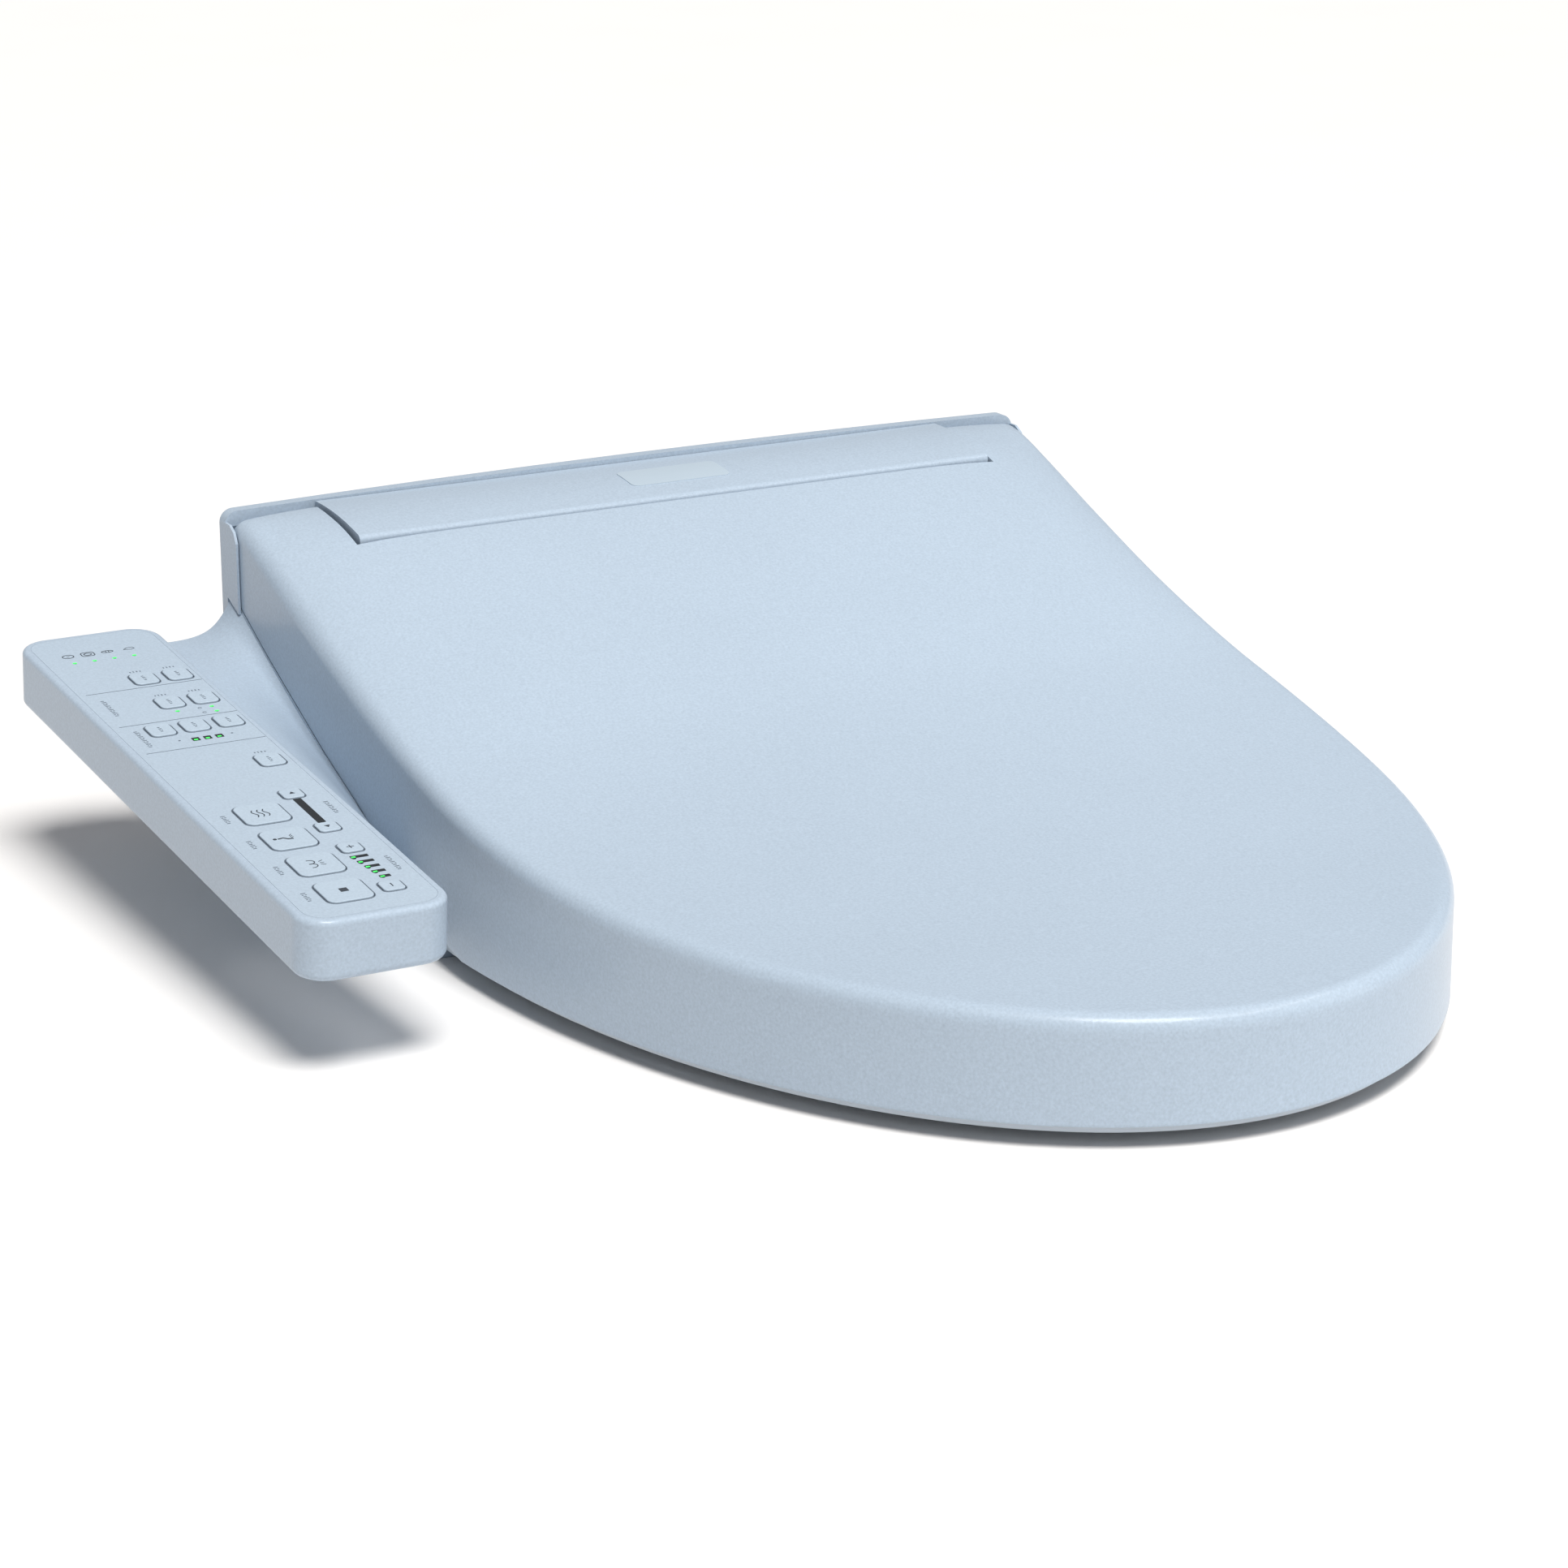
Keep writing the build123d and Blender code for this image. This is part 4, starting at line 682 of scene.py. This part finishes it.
OUTLINE_GAP = 0.6
outlines = []
for name, (u, v) in KEYS.items():
    if name in LARGE_NAMES:
        width, length, corner = LARGE_KEY
    elif name in SMALL_NAMES:
        width, length, corner = SMALL_KEY
    else:
        width, length, corner = OPTION_KEY
    edge = rounded_box(
        u, v, width + 2 * OUTLINE_GAP, length + 2 * OUTLINE_GAP, corner + OUTLINE_GAP
    )
    outlines.append(ribbon(edge, OUTLINE, PRINT_LIFT, closed=True))
join_marks("key_outlines", outlines, SOFT_PRINT, "main_unit", "overlay")

STATUS_V = 33.7
LEAF = [(9.4, 33.3), (11.2, 34.9), (13.8, 35.0), (14.2, 33.5), (12.4, 32.6), (9.4, 33.3)]
status = [
    ribbon(ring(-14.9, STATUS_V, 2.4, 1.9), ICON_LINE, PRINT_LIFT, closed=True),
    ribbon([(-15.6, STATUS_V), (-14.3, STATUS_V)], FINE_LINE, PRINT_LIFT),
    ribbon(rounded_box(-6.3, STATUS_V, 5.6, 4.2, 1.2), ICON_LINE, PRINT_LIFT, closed=True),
    ribbon(ring(-6.3, STATUS_V, 1.6, 1.2), ICON_LINE, PRINT_LIFT, closed=True),
    ribbon(ring(2.3, STATUS_V, 2.5, 1.1), ICON_LINE, PRINT_LIFT, closed=True),
    ribbon([(1.7, 32.9), (1.7, 34.5)], FINE_LINE, PRINT_LIFT),
    ribbon([(2.9, 32.9), (2.9, 34.5)], FINE_LINE, PRINT_LIFT),
    ribbon(LEAF, FINE_LINE, PRINT_LIFT),
]
join_marks("status_icons", status, PRINT, "main_unit", "overlay")

PRESSURE_BARS = (
    (10.1, 16.6, -209.1),
    (10.9, 16.8, -214.2),
    (11.7, 16.9, -219.4),
    (12.3, 17.0, -224.6),
    (13.1, 16.8, -229.9),
)
windows = [patch(rounded_box(13.4, -160.1, 3.4, 26.0, 0.5), PRINT_LIFT)]
for u0, u1, v in PRESSURE_BARS:
    bar = rounded_box((u0 + u1) / 2, v, u1 - u0 + 0.8, 2.2, 0.3)
    windows.append(patch(bar, PRINT_LIFT))
for i in range(3):
    windows.append(patch(rounded_box(0.4 + 5.0 * i, -73.6, 3.2, 3.4, 0.3), PRINT_LIFT))
join_marks("panel_windows", windows, DARK_WINDOW, "main_unit", "overlay")

lens_spots = [(-14.9 + 8.7 * i, 25.4) for i in range(4)]
lens_spots += [(4.7, -41.9), (19.5, -41.9), (19.5, -47.5)]
lens_spots += [(0.2 + 5.0 * i, -74.2) for i in range(3)]
lens_spots += [(10.9 + 0.75 * i, -209.4 - 5.2 * i) for i in range(5)]
LENS_LIFT = 0.02
LENS_HEIGHT = 0.12
lenses = [
    patch(rounded_box(u, v, 1.7, 1.0, 0.25), LENS_LIFT, LENS_HEIGHT) for u, v in lens_spots
]
lens_piece = join_marks("lamp_lenses", lenses, LAMP, "main_unit", "lamp")
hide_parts("panel_lamps")


# ---- Floor, light and camera ----
CAMERA_AT = (-0.8664, -1.7211, 0.60645)
CAMERA_TURN = (27.967, 17.416, -0.259)
CAMERA_LENS = 104.45
CAMERA_SENSOR = 36.0
WHITE = (1.0, 1.0, 1.0)


def add_camera():
    """The camera, above the object and in front of its panel, looking down at it."""
    yaw, pitch, roll = (radians(a) for a in CAMERA_TURN)
    forward = Vector((sin(yaw) * cos(pitch), cos(yaw) * cos(pitch), -sin(pitch)))
    level = Vector((cos(yaw), -sin(yaw), 0))
    above = level.cross(forward)
    across = level * cos(roll) + above * sin(roll)
    upright = above * cos(roll) - level * sin(roll)
    camera = bpy.data.cameras.new("camera")
    camera.sensor_width = CAMERA_SENSOR
    camera.lens = CAMERA_LENS
    holder = bpy.data.objects.new("camera", camera)
    bpy.context.scene.collection.objects.link(holder)
    turn = Matrix((across, upright, -forward)).transposed()
    holder.matrix_world = Matrix.Translation(CAMERA_AT) @ turn.to_4x4()
    bpy.context.scene.camera = holder


def strip_light(name, place_at, aim, size, power, colour):
    """A rectangular studio light at a point, turned to face another, in metres."""
    light = bpy.data.lights.new(name, "AREA")
    light.shape = "RECTANGLE"
    light.size, light.size_y = size
    light.energy = power
    light.color = colour
    holder = bpy.data.objects.new(name, light)
    bpy.context.scene.collection.objects.link(holder)
    holder.location = place_at
    direction = Vector(aim) - Vector(place_at)
    holder.rotation_euler = direction.to_track_quat("-Z", "Y").to_euler()


def overhead_light(name, towards, power, spread, colour):
    """A wide, soft light from far away; towards points back at it."""
    light = bpy.data.lights.new(name, "SUN")
    light.energy = power
    light.angle = radians(spread)
    light.color = colour
    holder = bpy.data.objects.new(name, light)
    bpy.context.scene.collection.objects.link(holder)
    holder.rotation_euler = Vector(towards).to_track_quat("Z", "Y").to_euler()


def room_light(colour, strength):
    """Even light from all round."""
    world = bpy.data.worlds.new("studio")
    bpy.context.scene.world = world
    world.use_nodes = True
    background = world.node_tree.nodes["Background"]
    background.inputs["Color"].default_value = (*colour, 1)
    background.inputs["Strength"].default_value = strength


add_camera()

floor_z = CAD_BOX[0].z / MM - FLOOR_GAP
corners = ((-1, -1), (1, -1), (1, 1), (-1, 1))
floor = make_piece(
    "floor",
    [(FLOOR_REACH * x, FLOOR_REACH * y, floor_z) for x, y in corners],
    [(0, 1, 2, 3)],
    plastic(
        "pale floor",
        (0.89, 0.875, 0.865),
        0.6,
        grain=0.02,
        mottle=0.004,
        scale=200.0,
        specular=0.2,
    ),
)

room_light((0.96, 0.965, 1.0), 0.26)
overhead_light("overhead", (-0.03, -0.42, 0.90), 3.4, 26, (1.0, 0.985, 0.96))
strip_light(
    "side strip", (1.3, -1.1, 0.5), (0.1, -0.4, 0.03), (0.35, 0.9), 1.5, (1.0, 0.98, 0.96)
)
strip_light("rim strip", (0.75, -0.85, 1.3), (0.05, -0.42, 0.05), (1.2, 0.12), 4, WHITE)
bpy.context.scene.view_settings.view_transform = "Standard"
